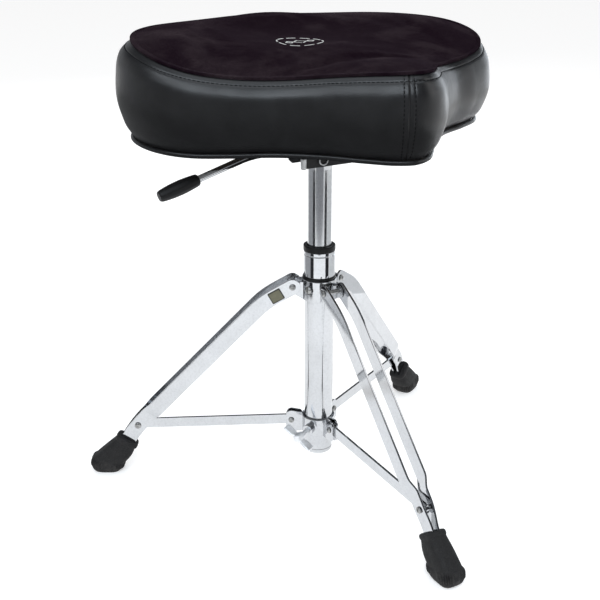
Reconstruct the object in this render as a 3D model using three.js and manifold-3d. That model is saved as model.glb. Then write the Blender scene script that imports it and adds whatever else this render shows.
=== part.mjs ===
// Drum throne: a padded saddle seat on a gas column, over a folding tripod.
// Millimetres, +Z up, floor at z = 0. The seat's nose and the front leg point to -Y, the lever to -X.
// Sub-parts are built around the column's axis; the whole object is then shifted by COLUMN_Y.
import * as THREE from "three";
import { mergeVertices } from "three/addons/utils/BufferGeometryUtils.js";
import Module from "manifold-3d";

const wasm = await Module();
wasm.setup();

// ---------------------------------------------------------------- driving dimensions

const COLUMN_Y = 56.5; // the column's axis stands this far behind the footprint's centre
const GAP = 0.3; // clearance between pieces that touch or slide

const TUBE_RADIUS = 17;
const TUBE_BORE = 15.5;
const TUBE_BOTTOM = 36;
const TUBE_TOP = 288.9;
const RING_TOP = 259;
const SLEEVE_RADIUS = 18.4;
const SLEEVE_TOP = 289.2;
const BUSHING_TOP = 296;

const POST_RADIUS = 14;
const POST_BOTTOM = 138;
const POST_TOP = 393.5;
const POST_CAVITY_RADIUS = 11.7;
const POST_CAVITY_TOP = 370;
const ROD_RADIUS = 5;
const ROD_FOOT = 44;
const PISTON_LOW = 225;

// Degrees from +X; right and left are the player's.
const LEG_AZIMUTHS = { front: -90, right: 150, left: 30 };
const HUB_RADIUS = 20.3;
const HUB_LOW = 230;
const HUB_TOP = 255.5;
const HUB_EAR = [7.1, 9.5]; // from the leg's middle plane to the ear's inner and outer face
const SCREW_AZIMUTHS = [203, 323, 83];
const SCREW_Z = 245;
const LEG_PIVOT = [31, 247]; // [radius, height] of the pin that the leg folds about
const LEG_KNEE = [64, 228];
const BRACE_RIVET = [221, 64];
const LOWER_LEG_SLOPE = 57; // degrees below the horizontal, from the brace rivet down
const LOWER_LEG_LENGTH = 57;
const STRIP_HALF_WIDTH = 9.3;
const STRIP_THICKNESS = 2.5;
const STRIP_INNER_WIDE = 10; // from the leg's middle plane to the strip's inner face
const STRIP_INNER_AT_RIVET = 4.5;
const STRIP_INNER_AT_FOOT = 2.2;

const COLLAR_PIN = [33, 70.5];
const COLLAR_RADIUS = 20;
const COLLAR_LOW = 56;
const COLLAR_TOP = 77.5;
const COLLAR_EAR = [2.1, 4.4];
const BRACE_HALF_WIDTH = 6.2;
const BRACE_HALF_THICKNESS = 1.5;
const PIN_RADIUS = 2.5;
const WING_AZIMUTH = 210;
const WING_Z = 66;
const WING_SHANK_RADIUS = 3;
const WING_TILT = 32; // of the wings from the horizontal, as the bolt was last tightened

const BOOT_START = 25; // along the leg, below the brace rivet
const BOOT_SQUARENESS = 0.56; // 1 is an ellipse
// The boot's sections as [radius, height, tilt in degrees, reach along the leg, half width].
const BOOT_SECTIONS = [
  [234.6, 43, 33, 12.6, 9.6],
  [235.3, 42, 33, 14.2, 11.2],
  [237.4, 38.8, 32, 14.4, 11.8],
  [238.4, 37.5, 31, 13.4, 11.2],
  [245, 29.5, 25, 16, 13.5],
  [254, 20.5, 16, 18.4, 14.6],
  [259.6, 15.3, 11, 19.6, 15.2],
  [260.8, 13.8, 10, 20.6, 16],
  [262.2, 8.8, 8, 20.6, 16],
  [262.6, 7.4, 7, 19.8, 15.2],
  [263.2, 3.6, 3, 17.8, 14],
  [262.6, 1.2, 0, 15.6, 12.4],
  [262, 0, 0, 13.6, 11.2],
];

const LEVER_PIN = [-6.5, 399]; // [x, height]
const LEVER_PLANE_Y = -9;
const LEVER_RADIUS = 3.9;
const LEVER_BEND = [-105, LEVER_PLANE_Y, 408];
const LEVER_SLOPE = 16; // degrees down towards the grip
const GRIP_START = 50; // along the straight, from the bend
const GRIP_LENGTH = 47;
const ROD_IN_GRIP = 36;
const CHANNEL_HALF_WIDTH = 17;
const CHANNEL_WALL = 2.4;
const CHEEK_END = -31; // the lever's end of the channel; the other end mirrors it
const CHANNEL_LOW = 391;
const SOCKET_TOP = 396.3;
const PLATE_LOW = 424;
const PLATE_TOP = 426.8;
const BOLT_X = 44;
const BOLT_Y = 36;
const BOLT_RADIUS = 3;
const BOLT_TOP = 433.7;

// The saddle's widest outline, one half, as [forward, sideways] from the column's axis.
const SADDLE_HALF_OUTLINE = [
  [196, 0],
  [185, 28],
  [160, 52],
  [125, 80],
  [99, 112],
  [81, 150],
  [58, 187],
  [25, 209],
  [-20, 217],
  [-66, 210],
  [-106, 188],
  [-137, 152],
  [-157, 106],
  [-167, 55],
  [-170, 0],
];
const SADDLE_CENTRE_Y = 29;
const OUTLINE_STEPS = 40;
const RIM_WAVES = [527.6, -16.7, -2, 5.7, 4.4]; // the rim's height as a cosine series, from the nose round
const DISH_HEIGHT = 517;
const WELT_Z = 430;
const WELT_RADIUS = 2.4;
const WELT_INSET = 15;
const COVER_LOW = 432.8;
const COVER_THICKNESS = 2.6;
const BOARD_LOW = 427.1;
const BOARD_TOP = 436;
const BOARD_INSET = 20;

// The cover's side as [inset from the widest outline, share of the way up to the rim].
const SIDE_PROFILE = [
  [15.6, 0],
  [5.8, 0.17],
  [0, 0.45],
  [1.5, 0.66],
  [6, 0.82],
  [11.4, 0.9],
];
// The crown as [scale towards the seat's centre, share of the way down to the dish].
const CROWN_PROFILE = [
  [0.92, -0.02],
  [0.84, -0.05],
  [0.66, 0.25],
  [0.42, 0.7],
  [0.18, 0.95],
];
const SEAM_INSET = 12.2;
const SEAM_SHARE = 0.915;

// ---------------------------------------------------------------- looks

const CHROME = { color: 0xd9dce1, roughness: 0.08, metalness: 1 };
const POST_CHROME = { color: 0xa9abae, roughness: 0.1, metalness: 1 };
const STEEL = { color: 0x9b9da0, roughness: 0.3, metalness: 1 };
const DARK_STEEL = { color: 0x2b2c2e, roughness: 0.5, metalness: 0.6 };
const BLACK_PLASTIC = { color: 0x1a1a1b, roughness: 0.45, metalness: 0 };
const RUBBER = { color: 0x343437, roughness: 0.85, metalness: 0 };
const VELVET = { color: 0x231822, roughness: 1, metalness: 0 };
const VINYL = { color: 0x121315, roughness: 0.28, metalness: 0 };
const PLYWOOD = { color: 0x2a211a, roughness: 0.7, metalness: 0 };
const FOAM = { color: 0xd8cfa8, roughness: 0.95, metalness: 0 };
const LABEL = { color: 0x6b6750, roughness: 0.5, metalness: 0.2 };

// ---------------------------------------------------------------- geometry helpers

const radians = THREE.MathUtils.degToRad;
const point = (x, y, z) => new THREE.Vector3(x, y, z);

function piece(name, geometry, look) {
  const mesh = new THREE.Mesh(geometry, new THREE.MeshStandardMaterial(look));
  mesh.name = name;
  return mesh;
}

function solidOf(geometry) {
  const bare = geometry.clone();
  bare.deleteAttribute("normal");
  bare.deleteAttribute("uv");
  const merged = mergeVertices(bare, 1e-4);
  return new wasm.Manifold(
    new wasm.Mesh({
      numProp: 3,
      vertProperties: merged.attributes.position.array,
      triVerts: new Uint32Array(merged.index.array),
    }),
  );
}

function geometryOf(solid) {
  const mesh = solid.getMesh();
  const geometry = new THREE.BufferGeometry();
  geometry.setAttribute("position", new THREE.BufferAttribute(new Float32Array(mesh.vertProperties), 3));
  geometry.setIndex(new THREE.BufferAttribute(new Uint32Array(mesh.triVerts), 1));
  geometry.computeVertexNormals();
  return geometry;
}

function join(first, ...others) {
  return geometryOf(others.reduce((sum, other) => sum.add(solidOf(other)), solidOf(first)));
}

function cut(body, ...tools) {
  return geometryOf(tools.reduce((rest, tool) => rest.subtract(solidOf(tool)), solidOf(body)));
}

// A solid of revolution about Z from [radius, height] points, outer side upwards.
function turned(profile, segments = 32) {
  const points = profile.map(([radius, height]) => new THREE.Vector2(radius, height));
  return new THREE.LatheGeometry(points, segments).rotateX(Math.PI / 2);
}

function ring(inner, outer, low, high, segments = 32) {
  return turned([[inner, low], [outer, low], [outer, high], [inner, high], [inner, low]], segments);
}

function disc(radius, low, high, segments = 32) {
  return turned([[0, low], [radius, low], [radius, high], [0, high]], segments);
}

function barBetween(from, to, radius, segments = 12) {
  const span = to.clone().sub(from);
  const turn = new THREE.Quaternion().setFromUnitVectors(point(0, 1, 0), span.clone().normalize());
  return new THREE.CylinderGeometry(radius, radius, span.length(), segments)
    .applyQuaternion(turn)
    .translate(...from.clone().add(to).multiplyScalar(0.5).toArray());
}

function block(low, high) {
  const size = high.map((value, i) => value - low[i]);
  const middle = high.map((value, i) => (value + low[i]) / 2);
  return new THREE.BoxGeometry(...size).translate(...middle);
}

// A flat plate whose shape is drawn in [x, z], reaching from y = near to y = far.
function uprightPlate(shape, near, far, curveSegments = 8) {
  return new THREE.ExtrudeGeometry(shape, { depth: far - near, bevelEnabled: false, curveSegments })
    .rotateX(Math.PI / 2)
    .translate(0, far, 0);
}

function shapeOf(corners) {
  return new THREE.Shape(corners.map(([x, y]) => new THREE.Vector2(x, y)));
}

// A pin along Y through [x, z].
function crossPin([x, z], near, far, radius, segments = 12) {
  return barBetween(point(x, near, z), point(x, far, z), radius, segments);
}

// A closed solid through rings of equally many points. It is capped at both ends, or its last ring joins
// its first when it is looped. Its faces are turned outwards whichever way the rings run.
function loft(rings, looped = false) {
  const count = rings[0].length;
  const points = rings.flat();
  const index = [];
  const spans = looped ? rings.length : rings.length - 1;
  for (let i = 0; i < spans; i++) {
    const here = i * count;
    const next = ((i + 1) % rings.length) * count;
    for (let j = 0; j < count; j++) {
      const k = (j + 1) % count;
      index.push(here + j, here + k, next + k, here + j, next + k, next + j);
    }
  }
  if (!looped) {
    addCap(points, index, 0, count, false);
    addCap(points, index, (rings.length - 1) * count, count, true);
  }
  const geometry = new THREE.BufferGeometry().setFromPoints(points);
  geometry.setIndex(volumeOf(points, index) < 0 ? index.reverse() : index);
  geometry.computeVertexNormals();
  return geometry;
}

function addCap(points, index, start, count, forwards) {
  const middle = point(0, 0, 0);
  for (let j = 0; j < count; j++) middle.addScaledVector(points[start + j], 1 / count);
  const hub = points.push(middle) - 1;
  for (let j = 0; j < count; j++) {
    const edge = [start + j, start + ((j + 1) % count)];
    index.push(hub, ...(forwards ? edge : edge.reverse()));
  }
}

function volumeOf(points, index) {
  let total = 0;
  for (let i = 0; i < index.length; i += 3) {
    const [a, b, c] = [points[index[i]], points[index[i + 1]], points[index[i + 2]]];
    total += a.dot(b.clone().cross(c)) / 6;
  }
  return total;
}

function along(from, to, distance) {
  const length = Math.hypot(to[0] - from[0], to[1] - from[1]);
  return from.map((value, i) => value + ((to[i] - value) * distance) / length);
}

function turnedTo(azimuth, ...meshes) {
  const group = new THREE.Group();
  group.rotation.z = radians(azimuth);
  group.add(...meshes);
  return group;
}

// ---------------------------------------------------------------- column

function columnPieces() {
  return [
    piece("column_tube", ring(TUBE_BORE, TUBE_RADIUS, TUBE_BOTTOM, TUBE_TOP), CHROME),
    piece("tube_end_cap", endCap(), CHROME),
    piece("column_sleeve", columnSleeve(), CHROME),
    piece("sleeve_ring", ring(TUBE_RADIUS + GAP, 19.4, HUB_TOP + GAP, RING_TOP), BLACK_PLASTIC),
    piece("post_bushing", postBushing(), BLACK_PLASTIC),
  ];
}

// A rounded foot on a plug that fills the tube's end; the gas spring's rod stands in its socket.
function endCap() {
  const low = 29;
  const edge = 5;
  const plugRadius = TUBE_BORE - GAP;
  const plugTop = 56;
  const rounded = [0, 30, 60, 90].map((angle) => [
    TUBE_RADIUS - edge + edge * Math.sin(radians(angle)),
    low + edge - edge * Math.cos(radians(angle)),
  ]);
  return turned([
    [0, low],
    ...rounded,
    [TUBE_RADIUS, TUBE_BOTTOM - GAP],
    [plugRadius, TUBE_BOTTOM - GAP],
    [plugRadius, plugTop],
    [ROD_RADIUS + GAP, plugTop],
    [ROD_RADIUS + GAP, ROD_FOOT - GAP],
    [0, ROD_FOOT - GAP],
  ]);
}

function columnSleeve() {
  const inner = TUBE_RADIUS + GAP;
  const outer = SLEEVE_RADIUS;
  const low = RING_TOP + GAP;
  const grooveLow = SLEEVE_TOP - 4.7;
  const grooveHigh = grooveLow + 1;
  return turned([
    [inner, low],
    [outer, low],
    [outer, grooveLow],
    [outer - 0.4, (grooveLow + grooveHigh) / 2],
    [outer, grooveHigh],
    [outer, SLEEVE_TOP],
    [inner, SLEEVE_TOP],
    [inner, low],
  ]);
}

function postBushing() {
  const bore = POST_RADIUS + GAP;
  const insertRadius = TUBE_BORE - GAP;
  const flangeRadius = 18.6;
  const flangeLow = SLEEVE_TOP + GAP;
  const flangeTop = BUSHING_TOP;
  return turned([
    [bore, 250],
    [insertRadius, 250],
    [insertRadius, flangeLow],
    [flangeRadius, flangeLow],
    [flangeRadius, flangeTop - 1.5],
    [flangeRadius - 1.5, flangeTop],
    [bore, flangeTop],
    [bore, 250],
  ]);
}

// ---------------------------------------------------------------- gas spring

function gasSpringPieces() {
  const clipLow = 57;
  const pistonTop = PISTON_LOW + 8;
  const bore = ROD_RADIUS + GAP;
  return [
    piece("gas_rod", disc(ROD_RADIUS, ROD_FOOT, pistonTop, 16), STEEL),
    piece("gas_piston", ring(bore, POST_CAVITY_RADIUS - GAP, PISTON_LOW, pistonTop, 20), STEEL),
    piece("rod_clip", ring(bore, 8.5, clipLow, clipLow + 1.5, 16), STEEL),
  ];
}

// The pressure tube: open below, where the gland closes it round the rod, with the valve's bore at the top.
function gasPost() {
  const valveBore = 3.4;
  const valveBoreLow = 382;
  const taperLow = 386;
  return turned([
    [POST_CAVITY_RADIUS, POST_BOTTOM],
    [POST_RADIUS, POST_BOTTOM],
    [POST_RADIUS, taperLow],
    [POST_RADIUS - 0.3, POST_TOP - 1],
    [POST_RADIUS - 1.3, POST_TOP],
    [valveBore, POST_TOP],
    [valveBore, valveBoreLow],
    [0, valveBoreLow],
    [0, POST_CAVITY_TOP],
    [POST_CAVITY_RADIUS, POST_CAVITY_TOP],
    [POST_CAVITY_RADIUS, POST_BOTTOM],
  ]);
}

// The seal and guide in the post's open end.
function postGland() {
  return ring(ROD_RADIUS + GAP, POST_CAVITY_RADIUS - GAP, POST_BOTTOM + 1, POST_BOTTOM + 10, 20);
}

function valveButton() {
  return turned([[0, 384], [3, 384], [3, 395.4], [2.4, 396], [0, 396]], 16);
}

// ---------------------------------------------------------------- lever and its channel under the seat

// A pressed channel that hangs open downwards under the plate, with the socket that grips the post.
// The lever leaves between its two cheeks.
function seatChannel() {
  const [leverEnd, farEnd] = [CHEEK_END, -CHEEK_END];
  const corner = 4;
  const inner = CHANNEL_HALF_WIDTH - CHANNEL_WALL;
  const top = PLATE_LOW - GAP;
  const outside = shapeOf([
    [leverEnd + corner, CHANNEL_LOW],
    [farEnd, CHANNEL_LOW],
    [farEnd, top],
    [leverEnd, top],
    [leverEnd, CHANNEL_LOW + corner],
  ]);
  const inside = shapeOf([
    [leverEnd - 5, CHANNEL_LOW - 5],
    [farEnd - CHANNEL_WALL, CHANNEL_LOW - 5],
    [farEnd - CHANNEL_WALL, top - CHANNEL_WALL],
    [leverEnd - 5, top - CHANNEL_WALL],
  ]);
  const body = cut(
    uprightPlate(outside, -CHANNEL_HALF_WIDTH, CHANNEL_HALF_WIDTH),
    uprightPlate(inside, -inner, inner),
  );
  const socket = disc(CHANNEL_HALF_WIDTH - 0.5, CHANNEL_LOW + 0.5, SOCKET_TOP);
  return cut(
    join(body, socket),
    disc(POST_RADIUS + GAP, CHANNEL_LOW - 5, SOCKET_TOP + 1),
    crossPin(LEVER_PIN, -40, 40, PIN_RADIUS),
  );
}

// A folded clip over the end of the near cheek.
function cheekClip() {
  const sheet = 1.2;
  const overlap = 2.6;
  const [low, high] = [CHANNEL_LOW - GAP, PLATE_LOW - 2 * GAP - CHANNEL_WALL];
  const near = -CHANNEL_HALF_WIDTH - GAP;
  const far = CHANNEL_WALL - CHANNEL_HALF_WIDTH + GAP;
  const outer = CHEEK_END - GAP - sheet;
  const fold = block([outer, near - sheet, low], [CHEEK_END + overlap, far + sheet, high]);
  return cut(fold, block([CHEEK_END - GAP, near, low - 1], [0, far, high + 1]));
}

function leverPin() {
  const face = CHANNEL_HALF_WIDTH + GAP;
  const shank = PIN_RADIUS - GAP;
  const head = 1.4;
  return join(
    crossPin(LEVER_PIN, -face - head / 2, face + head / 2, shank),
    crossPin(LEVER_PIN, -face - head, -face, 5.4, 20),
    crossPin(LEVER_PIN, face, face + head, 4, 16),
  );
}

// A return spring of two turns of wire round the pin.
function leverSpring() {
  const [x, z] = LEVER_PIN;
  const turns = 2;
  const steps = 30;
  const coilRadius = 3.1;
  const [near, far] = [7.8, 10];
  const path = new THREE.CatmullRomCurve3(
    Array.from({ length: steps + 1 }, (_, i) => {
      const angle = (2 * Math.PI * turns * i) / steps;
      const y = near + ((far - near) * i) / steps;
      return point(x + coilRadius * Math.cos(angle), y, z + coilRadius * Math.sin(angle));
    }),
  );
  return sweep(path, 0.5, steps, 5);
}

function sweep(path, radius, steps, sides) {
  const section = new THREE.Shape(
    Array.from({ length: sides }, (_, i) => {
      const angle = (2 * Math.PI * i) / sides;
      return new THREE.Vector2(radius * Math.cos(angle), radius * Math.sin(angle));
    }),
  );
  return new THREE.ExtrudeGeometry(section, { steps, extrudePath: path, bevelEnabled: false });
}

// A point on the lever's straight, that far from the bend.
function leverPoint(distance) {
  const slope = radians(LEVER_SLOPE);
  return point(-Math.cos(slope), 0, -Math.sin(slope)).multiplyScalar(distance).add(point(...LEVER_BEND));
}

function leverRod() {
  const [pinX, pinZ] = LEVER_PIN;
  const eyeRadius = 4.4;
  const tongueBase = SOCKET_TOP + 0.1;
  const rodStart = point(pinX - 4, -5, pinZ + 1.5);
  const rodCrest = point(-68, LEVER_PLANE_Y, 418.6);
  const path = new THREE.CurvePath();
  path.add(new THREE.QuadraticBezierCurve3(rodStart, rodCrest, point(...LEVER_BEND)));
  path.add(new THREE.LineCurve3(point(...LEVER_BEND), leverPoint(GRIP_START + ROD_IN_GRIP)));
  const tongue = new THREE.Shape();
  tongue.moveTo(7, tongueBase);
  tongue.lineTo(7, tongueBase + 4);
  tongue.lineTo(pinX + 2, pinZ + 4.6);
  tongue.absarc(pinX, pinZ, eyeRadius, radians(80), radians(270), false);
  tongue.lineTo(-4, tongueBase);
  return cut(
    join(uprightPlate(tongue, -10, 7), sweep(path, LEVER_RADIUS, 16, 8)),
    crossPin(LEVER_PIN, -20, 20, PIN_RADIUS),
  );
}

// A tapered grip, thickest near its rounded end.
function leverGrip() {
  const bore = LEVER_RADIUS + 0.4;
  const boreEnd = ROD_IN_GRIP + 1;
  const grip = turned(
    [
      [bore, 0],
      [5.4, 0],
      [6.3, 1.5],
      [7.6, 14],
      [7.9, 22],
      [7.6, 32],
      [6.6, 42],
      [5.6, 46],
      [4.6, GRIP_LENGTH],
      [0, GRIP_LENGTH],
      [0, boreEnd],
      [bore, boreEnd],
      [bore, 0],
    ],
    16,
  );
  return grip.rotateY(radians(-90 - LEVER_SLOPE)).translate(...leverPoint(GRIP_START).toArray());
}

function mountingPlate() {
  const half = [58, 48];
  const plate = block([-half[0], -half[1], PLATE_LOW], [half[0], half[1], PLATE_TOP]);
  return cut(plate, ...boltHoles(PLATE_TOP + 5));
}

function boltHoles(top) {
  return boltPlaces().map(([x, y]) => disc(BOLT_RADIUS + GAP, PLATE_LOW - 5, top, 12).translate(x, y, 0));
}

function boltPlaces() {
  return [
    [-BOLT_X, -BOLT_Y],
    [BOLT_X, -BOLT_Y],
    [BOLT_X, BOLT_Y],
    [-BOLT_X, BOLT_Y],
  ];
}

function plateBolt() {
  const headLow = 419.5;
  return join(disc(5.8, headLow, PLATE_LOW - GAP, 6), disc(BOLT_RADIUS, headLow + 1, BOLT_TOP, 12));
}

// ---------------------------------------------------------------- saddle

const saddleCurve = () => {
  const half = SADDLE_HALF_OUTLINE.map(([forward, sideways]) => point(sideways, -forward, 0));
  const mirrored = half.slice(1, -1).reverse().map((p) => point(-p.x, p.y, 0));
  return new THREE.CatmullRomCurve3([...half, ...mirrored], true, "centripetal");
};

// Points round the widest outline with their outward normals and the rim's height there.
const SADDLE_OUTLINE = (() => {
  const curve = saddleCurve();
  return Array.from({ length: OUTLINE_STEPS }, (_, i) => {
    const share = i / OUTLINE_STEPS;
    const at = curve.getPointAt(share);
    const tangent = curve.getTangentAt(share);
    const azimuth = Math.atan2(at.x, SADDLE_CENTRE_Y - at.y);
    const rim = RIM_WAVES.reduce((sum, wave, k) => sum + wave * Math.cos(k * azimuth), 0);
    return { at, outward: point(tangent.y, -tangent.x, 0), rim };
  });
})();

function insetRing(inset, heightOf) {
  return SADDLE_OUTLINE.map((station) => {
    const at = station.at.clone().addScaledVector(station.outward, -inset);
    at.z = heightOf(station);
    return at;
  });
}

function sideRing(inset, share) {
  return insetRing(inset, ({ rim }) => COVER_LOW + share * (rim - COVER_LOW));
}

// A ring of the crown: the seam's outline drawn in towards the seat's centre and down into the dish.
function crownRing(scale, share, depth) {
  return insetRing(SEAM_INSET + 2, ({ rim }) => rim + share * (DISH_HEIGHT - rim) - depth).map((at) =>
    point(at.x * scale, SADDLE_CENTRE_Y + (at.y - SADDLE_CENTRE_Y) * scale, at.z),
  );
}

function sideCover() {
  const outer = SIDE_PROFILE.map(([inset, share]) => sideRing(inset, share));
  const inner = SIDE_PROFILE.map(([inset, share]) => sideRing(inset + COVER_THICKNESS, share)).reverse();
  return loft([...outer, ...inner], true);
}

function topCover() {
  const under = CROWN_PROFILE.map(([scale, share]) => crownRing(scale, share, COVER_THICKNESS)).reverse();
  const over = CROWN_PROFILE.map(([scale, share]) => crownRing(scale, share, 0));
  const edge = [sideRing(SEAM_INSET + COVER_THICKNESS, SEAM_SHARE), sideRing(SEAM_INSET, SEAM_SHARE)];
  return loft([...under, ...edge, sideRing(SEAM_INSET + 4, 0.96), ...over]);
}

function foamCore() {
  const clear = COVER_THICKNESS + 1.4;
  const sides = SIDE_PROFILE.slice(1).map(([inset, share]) => sideRing(inset + clear, share));
  const crown = CROWN_PROFILE.map(([scale, share]) => crownRing(scale, share, clear));
  return loft([insetRing(BOARD_INSET, () => BOARD_TOP + GAP), ...sides, ...crown]);
}

function weltPiping() {
  const sides = 5;
  return loft(
    Array.from({ length: sides }, (_, i) => {
      const angle = (2 * Math.PI * i) / sides;
      const height = WELT_Z + WELT_RADIUS * Math.sin(angle);
      return insetRing(WELT_INSET - WELT_RADIUS * Math.cos(angle), () => height);
    }),
    true,
  );
}

function seatBoard() {
  const board = loft([insetRing(BOARD_INSET, () => BOARD_LOW), insetRing(BOARD_INSET, () => BOARD_TOP)]);
  return cut(board, ...boltHoles(BOLT_TOP + GAP));
}

function seatPieces() {
  const bolts = boltPlaces().map(([x, y], i) => {
    const bolt = piece(`plate_bolt_${i + 1}`, plateBolt(), STEEL);
    bolt.position.set(x, y, 0);
    return bolt;
  });
  return [
    piece("gas_post", gasPost(), POST_CHROME),
    piece("post_gland", postGland(), BLACK_PLASTIC),
    piece("valve_button", valveButton(), STEEL),
    piece("seat_channel", seatChannel(), DARK_STEEL),
    piece("cheek_clip", cheekClip(), STEEL),
    piece("lever_pin", leverPin(), STEEL),
    piece("lever_spring", leverSpring(), STEEL),
    piece("height_lever", leverRod(), CHROME),
    piece("lever_grip", leverGrip(), BLACK_PLASTIC),
    piece("mounting_plate", mountingPlate(), DARK_STEEL),
    ...bolts,
    piece("seat_board", seatBoard(), PLYWOOD),
    piece("foam_core", foamCore(), FOAM),
    piece("side_cover", sideCover(), VINYL),
    piece("top_cover", topCover(), VELVET),
    piece("welt_piping", weltPiping(), VINYL),
  ];
}

// ---------------------------------------------------------------- hubs

// A pair of ears of that shape at each leg, between two distances from the leg's middle plane.
function legEars(shape, [near, far], curveSegments) {
  return Object.values(LEG_AZIMUTHS).flatMap((azimuth) => [
    uprightPlate(shape, near, far, curveSegments).rotateZ(radians(azimuth)),
    uprightPlate(shape, -far, -near, curveSegments).rotateZ(radians(azimuth)),
  ]);
}

// A pressed collar round the tube, with a pair of ears for each leg's pivot pin.
function upperHub() {
  const earRadius = 7;
  const root = TUBE_RADIUS + 1;
  const [tipX, tipZ] = [LEG_PIVOT[0], LEG_PIVOT[1] - 1.5];
  const ear = new THREE.Shape();
  ear.moveTo(root, HUB_LOW + 1);
  ear.lineTo(tipX, tipZ - earRadius);
  ear.absarc(tipX, tipZ, earRadius, -Math.PI / 2, Math.PI / 2, false);
  ear.lineTo(root, tipZ + earRadius);
  const ears = legEars(ear, HUB_EAR, 8);
  const pinHoles = Object.values(LEG_AZIMUTHS).map((azimuth) =>
    crossPin(LEG_PIVOT, -12, 12, PIN_RADIUS + GAP).rotateZ(radians(azimuth)),
  );
  const screwHoles = SCREW_AZIMUTHS.map((azimuth) =>
    barBetween(point(15, 0, SCREW_Z), point(25, 0, SCREW_Z), 2.3).rotateZ(radians(azimuth)),
  );
  const body = join(ring(TUBE_RADIUS + GAP, HUB_RADIUS, HUB_LOW, HUB_TOP), ...ears);
  return cut(body, disc(TUBE_RADIUS + GAP, HUB_LOW - 1, HUB_TOP + 1), ...pinHoles, ...screwHoles);
}

// A slotted round-head screw, drawn with its axis along X.
function hubScrew() {
  const shank = barBetween(point(TUBE_RADIUS + 0.4, 0, SCREW_Z), point(21, 0, SCREW_Z), 2);
  const head = turned([[0, 0], [4.6, 0], [4.6, 0.8], [3.4, 2.2], [0, 2.9]], 14)
    .rotateY(Math.PI / 2)
    .translate(20.7, 0, SCREW_Z);
  return cut(join(shank, head), block([22.4, -0.6, SCREW_Z - 6], [25, 0.6, SCREW_Z + 6]));
}

function legPivotPin() {
  const outer = STRIP_INNER_WIDE + STRIP_THICKNESS + GAP;
  const head = 1.4;
  return join(
    crossPin(LEG_PIVOT, -outer - head / 2, outer + head / 2, PIN_RADIUS),
    crossPin(LEG_PIVOT, outer, outer + head, 3.8),
    crossPin(LEG_PIVOT, -outer - head, -outer, 3.8),
  );
}

// The sliding collar: a pair of ears for each brace, and a boss for the wing bolt.
function lowerHub() {
  const [low, high] = [COLLAR_LOW - 1, COLLAR_TOP + 5.5];
  const [corner, reach] = [7, 39.5];
  const ear = new THREE.Shape();
  ear.moveTo(TUBE_RADIUS + 1, low + 1.2);
  ear.lineTo(reach - corner, low);
  ear.absarc(reach - corner, low + corner, corner, -Math.PI / 2, 0, false);
  ear.absarc(reach - corner, high - corner, corner, 0, Math.PI / 2, false);
  ear.lineTo(TUBE_RADIUS + 4, high - 2);
  ear.lineTo(TUBE_RADIUS + 1, COLLAR_TOP);
  const holes = Object.values(LEG_AZIMUTHS).map((azimuth) =>
    crossPin(COLLAR_PIN, -8, 8, PIN_RADIUS + GAP).rotateZ(radians(azimuth)),
  );
  const wingwards = (from, to, radius) =>
    barBetween(point(from, 0, WING_Z), point(to, 0, WING_Z), radius, 16).rotateZ(radians(WING_AZIMUTH));
  const body = ring(TUBE_RADIUS + GAP, COLLAR_RADIUS, COLLAR_LOW, COLLAR_TOP);
  return cut(
    join(body, ...legEars(ear, COLLAR_EAR, 4), wingwards(18.5, 27, 6.5)),
    disc(TUBE_RADIUS + GAP, COLLAR_LOW - 3, high + 5),
    wingwards(15, 30, WING_SHANK_RADIUS + GAP),
    ...holes,
  );
}

function collarPin() {
  const face = COLLAR_EAR[1] + GAP;
  const head = 1.6;
  return join(
    crossPin(COLLAR_PIN, -face - head / 2, face + head / 2, PIN_RADIUS),
    crossPin(COLLAR_PIN, face, face + head, 3.6),
    crossPin(COLLAR_PIN, -face - head, -face, 3.6),
  );
}

// A wing bolt along X: each wing is a flat plate that holds the bolt's axis.
function wingBolt() {
  const [hubStart, hubEnd, hubRadius] = [40, 53, 5.4];
  const wing = shapeOf([
    [hubRadius - 3, -4],
    [11, -6],
    [19, -6],
    [20.5, -4.5],
    [20.5, 4.5],
    [19, 6],
    [11, 6],
    [hubRadius - 3, 4],
  ]);
  const blade = (side) =>
    new THREE.ExtrudeGeometry(wing, { depth: 3.2, bevelEnabled: false })
      .translate(0, 0, -1.6)
      .rotateZ(side * Math.PI * 0.5)
      .rotateX(radians(-WING_TILT))
      .translate(48, 0, WING_Z);
  return join(
    barBetween(point(TUBE_RADIUS + 0.6, 0, WING_Z), point(hubStart + 5, 0, WING_Z), WING_SHANK_RADIUS),
    barBetween(point(hubStart, 0, WING_Z), point(hubEnd, 0, WING_Z), hubRadius, 14),
    blade(1),
    blade(-1),
  );
}

// ---------------------------------------------------------------- legs

// A leg's side view: [radius, height] stations with the strip's half width and its inner face's distance
// from the leg's middle plane.
function stripStations() {
  const foot = [
    BRACE_RIVET[0] + LOWER_LEG_LENGTH * Math.cos(radians(LOWER_LEG_SLOPE)),
    BRACE_RIVET[1] - LOWER_LEG_LENGTH * Math.sin(radians(LOWER_LEG_SLOPE)),
  ];
  const roundEnd = [20, 45, 70].map((angle) => ({
    at: along(LEG_PIVOT, LEG_KNEE, -STRIP_HALF_WIDTH * Math.cos(radians(angle))),
    half: STRIP_HALF_WIDTH * Math.sin(radians(angle)),
    inner: STRIP_INNER_WIDE,
  }));
  const full = (at, inner) => ({ at, half: STRIP_HALF_WIDTH, inner });
  return [
    ...roundEnd,
    full(LEG_PIVOT, STRIP_INNER_WIDE),
    full(LEG_KNEE, STRIP_INNER_WIDE),
    full(along(BRACE_RIVET, LEG_KNEE, 34), STRIP_INNER_WIDE),
    full(along(BRACE_RIVET, LEG_KNEE, 17), STRIP_INNER_AT_RIVET + 0.4),
    full(BRACE_RIVET, STRIP_INNER_AT_RIVET),
    full(along(BRACE_RIVET, foot, BOOT_START), STRIP_INNER_AT_FOOT),
    full(foot, STRIP_INNER_AT_FOOT),
  ];
}

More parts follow.
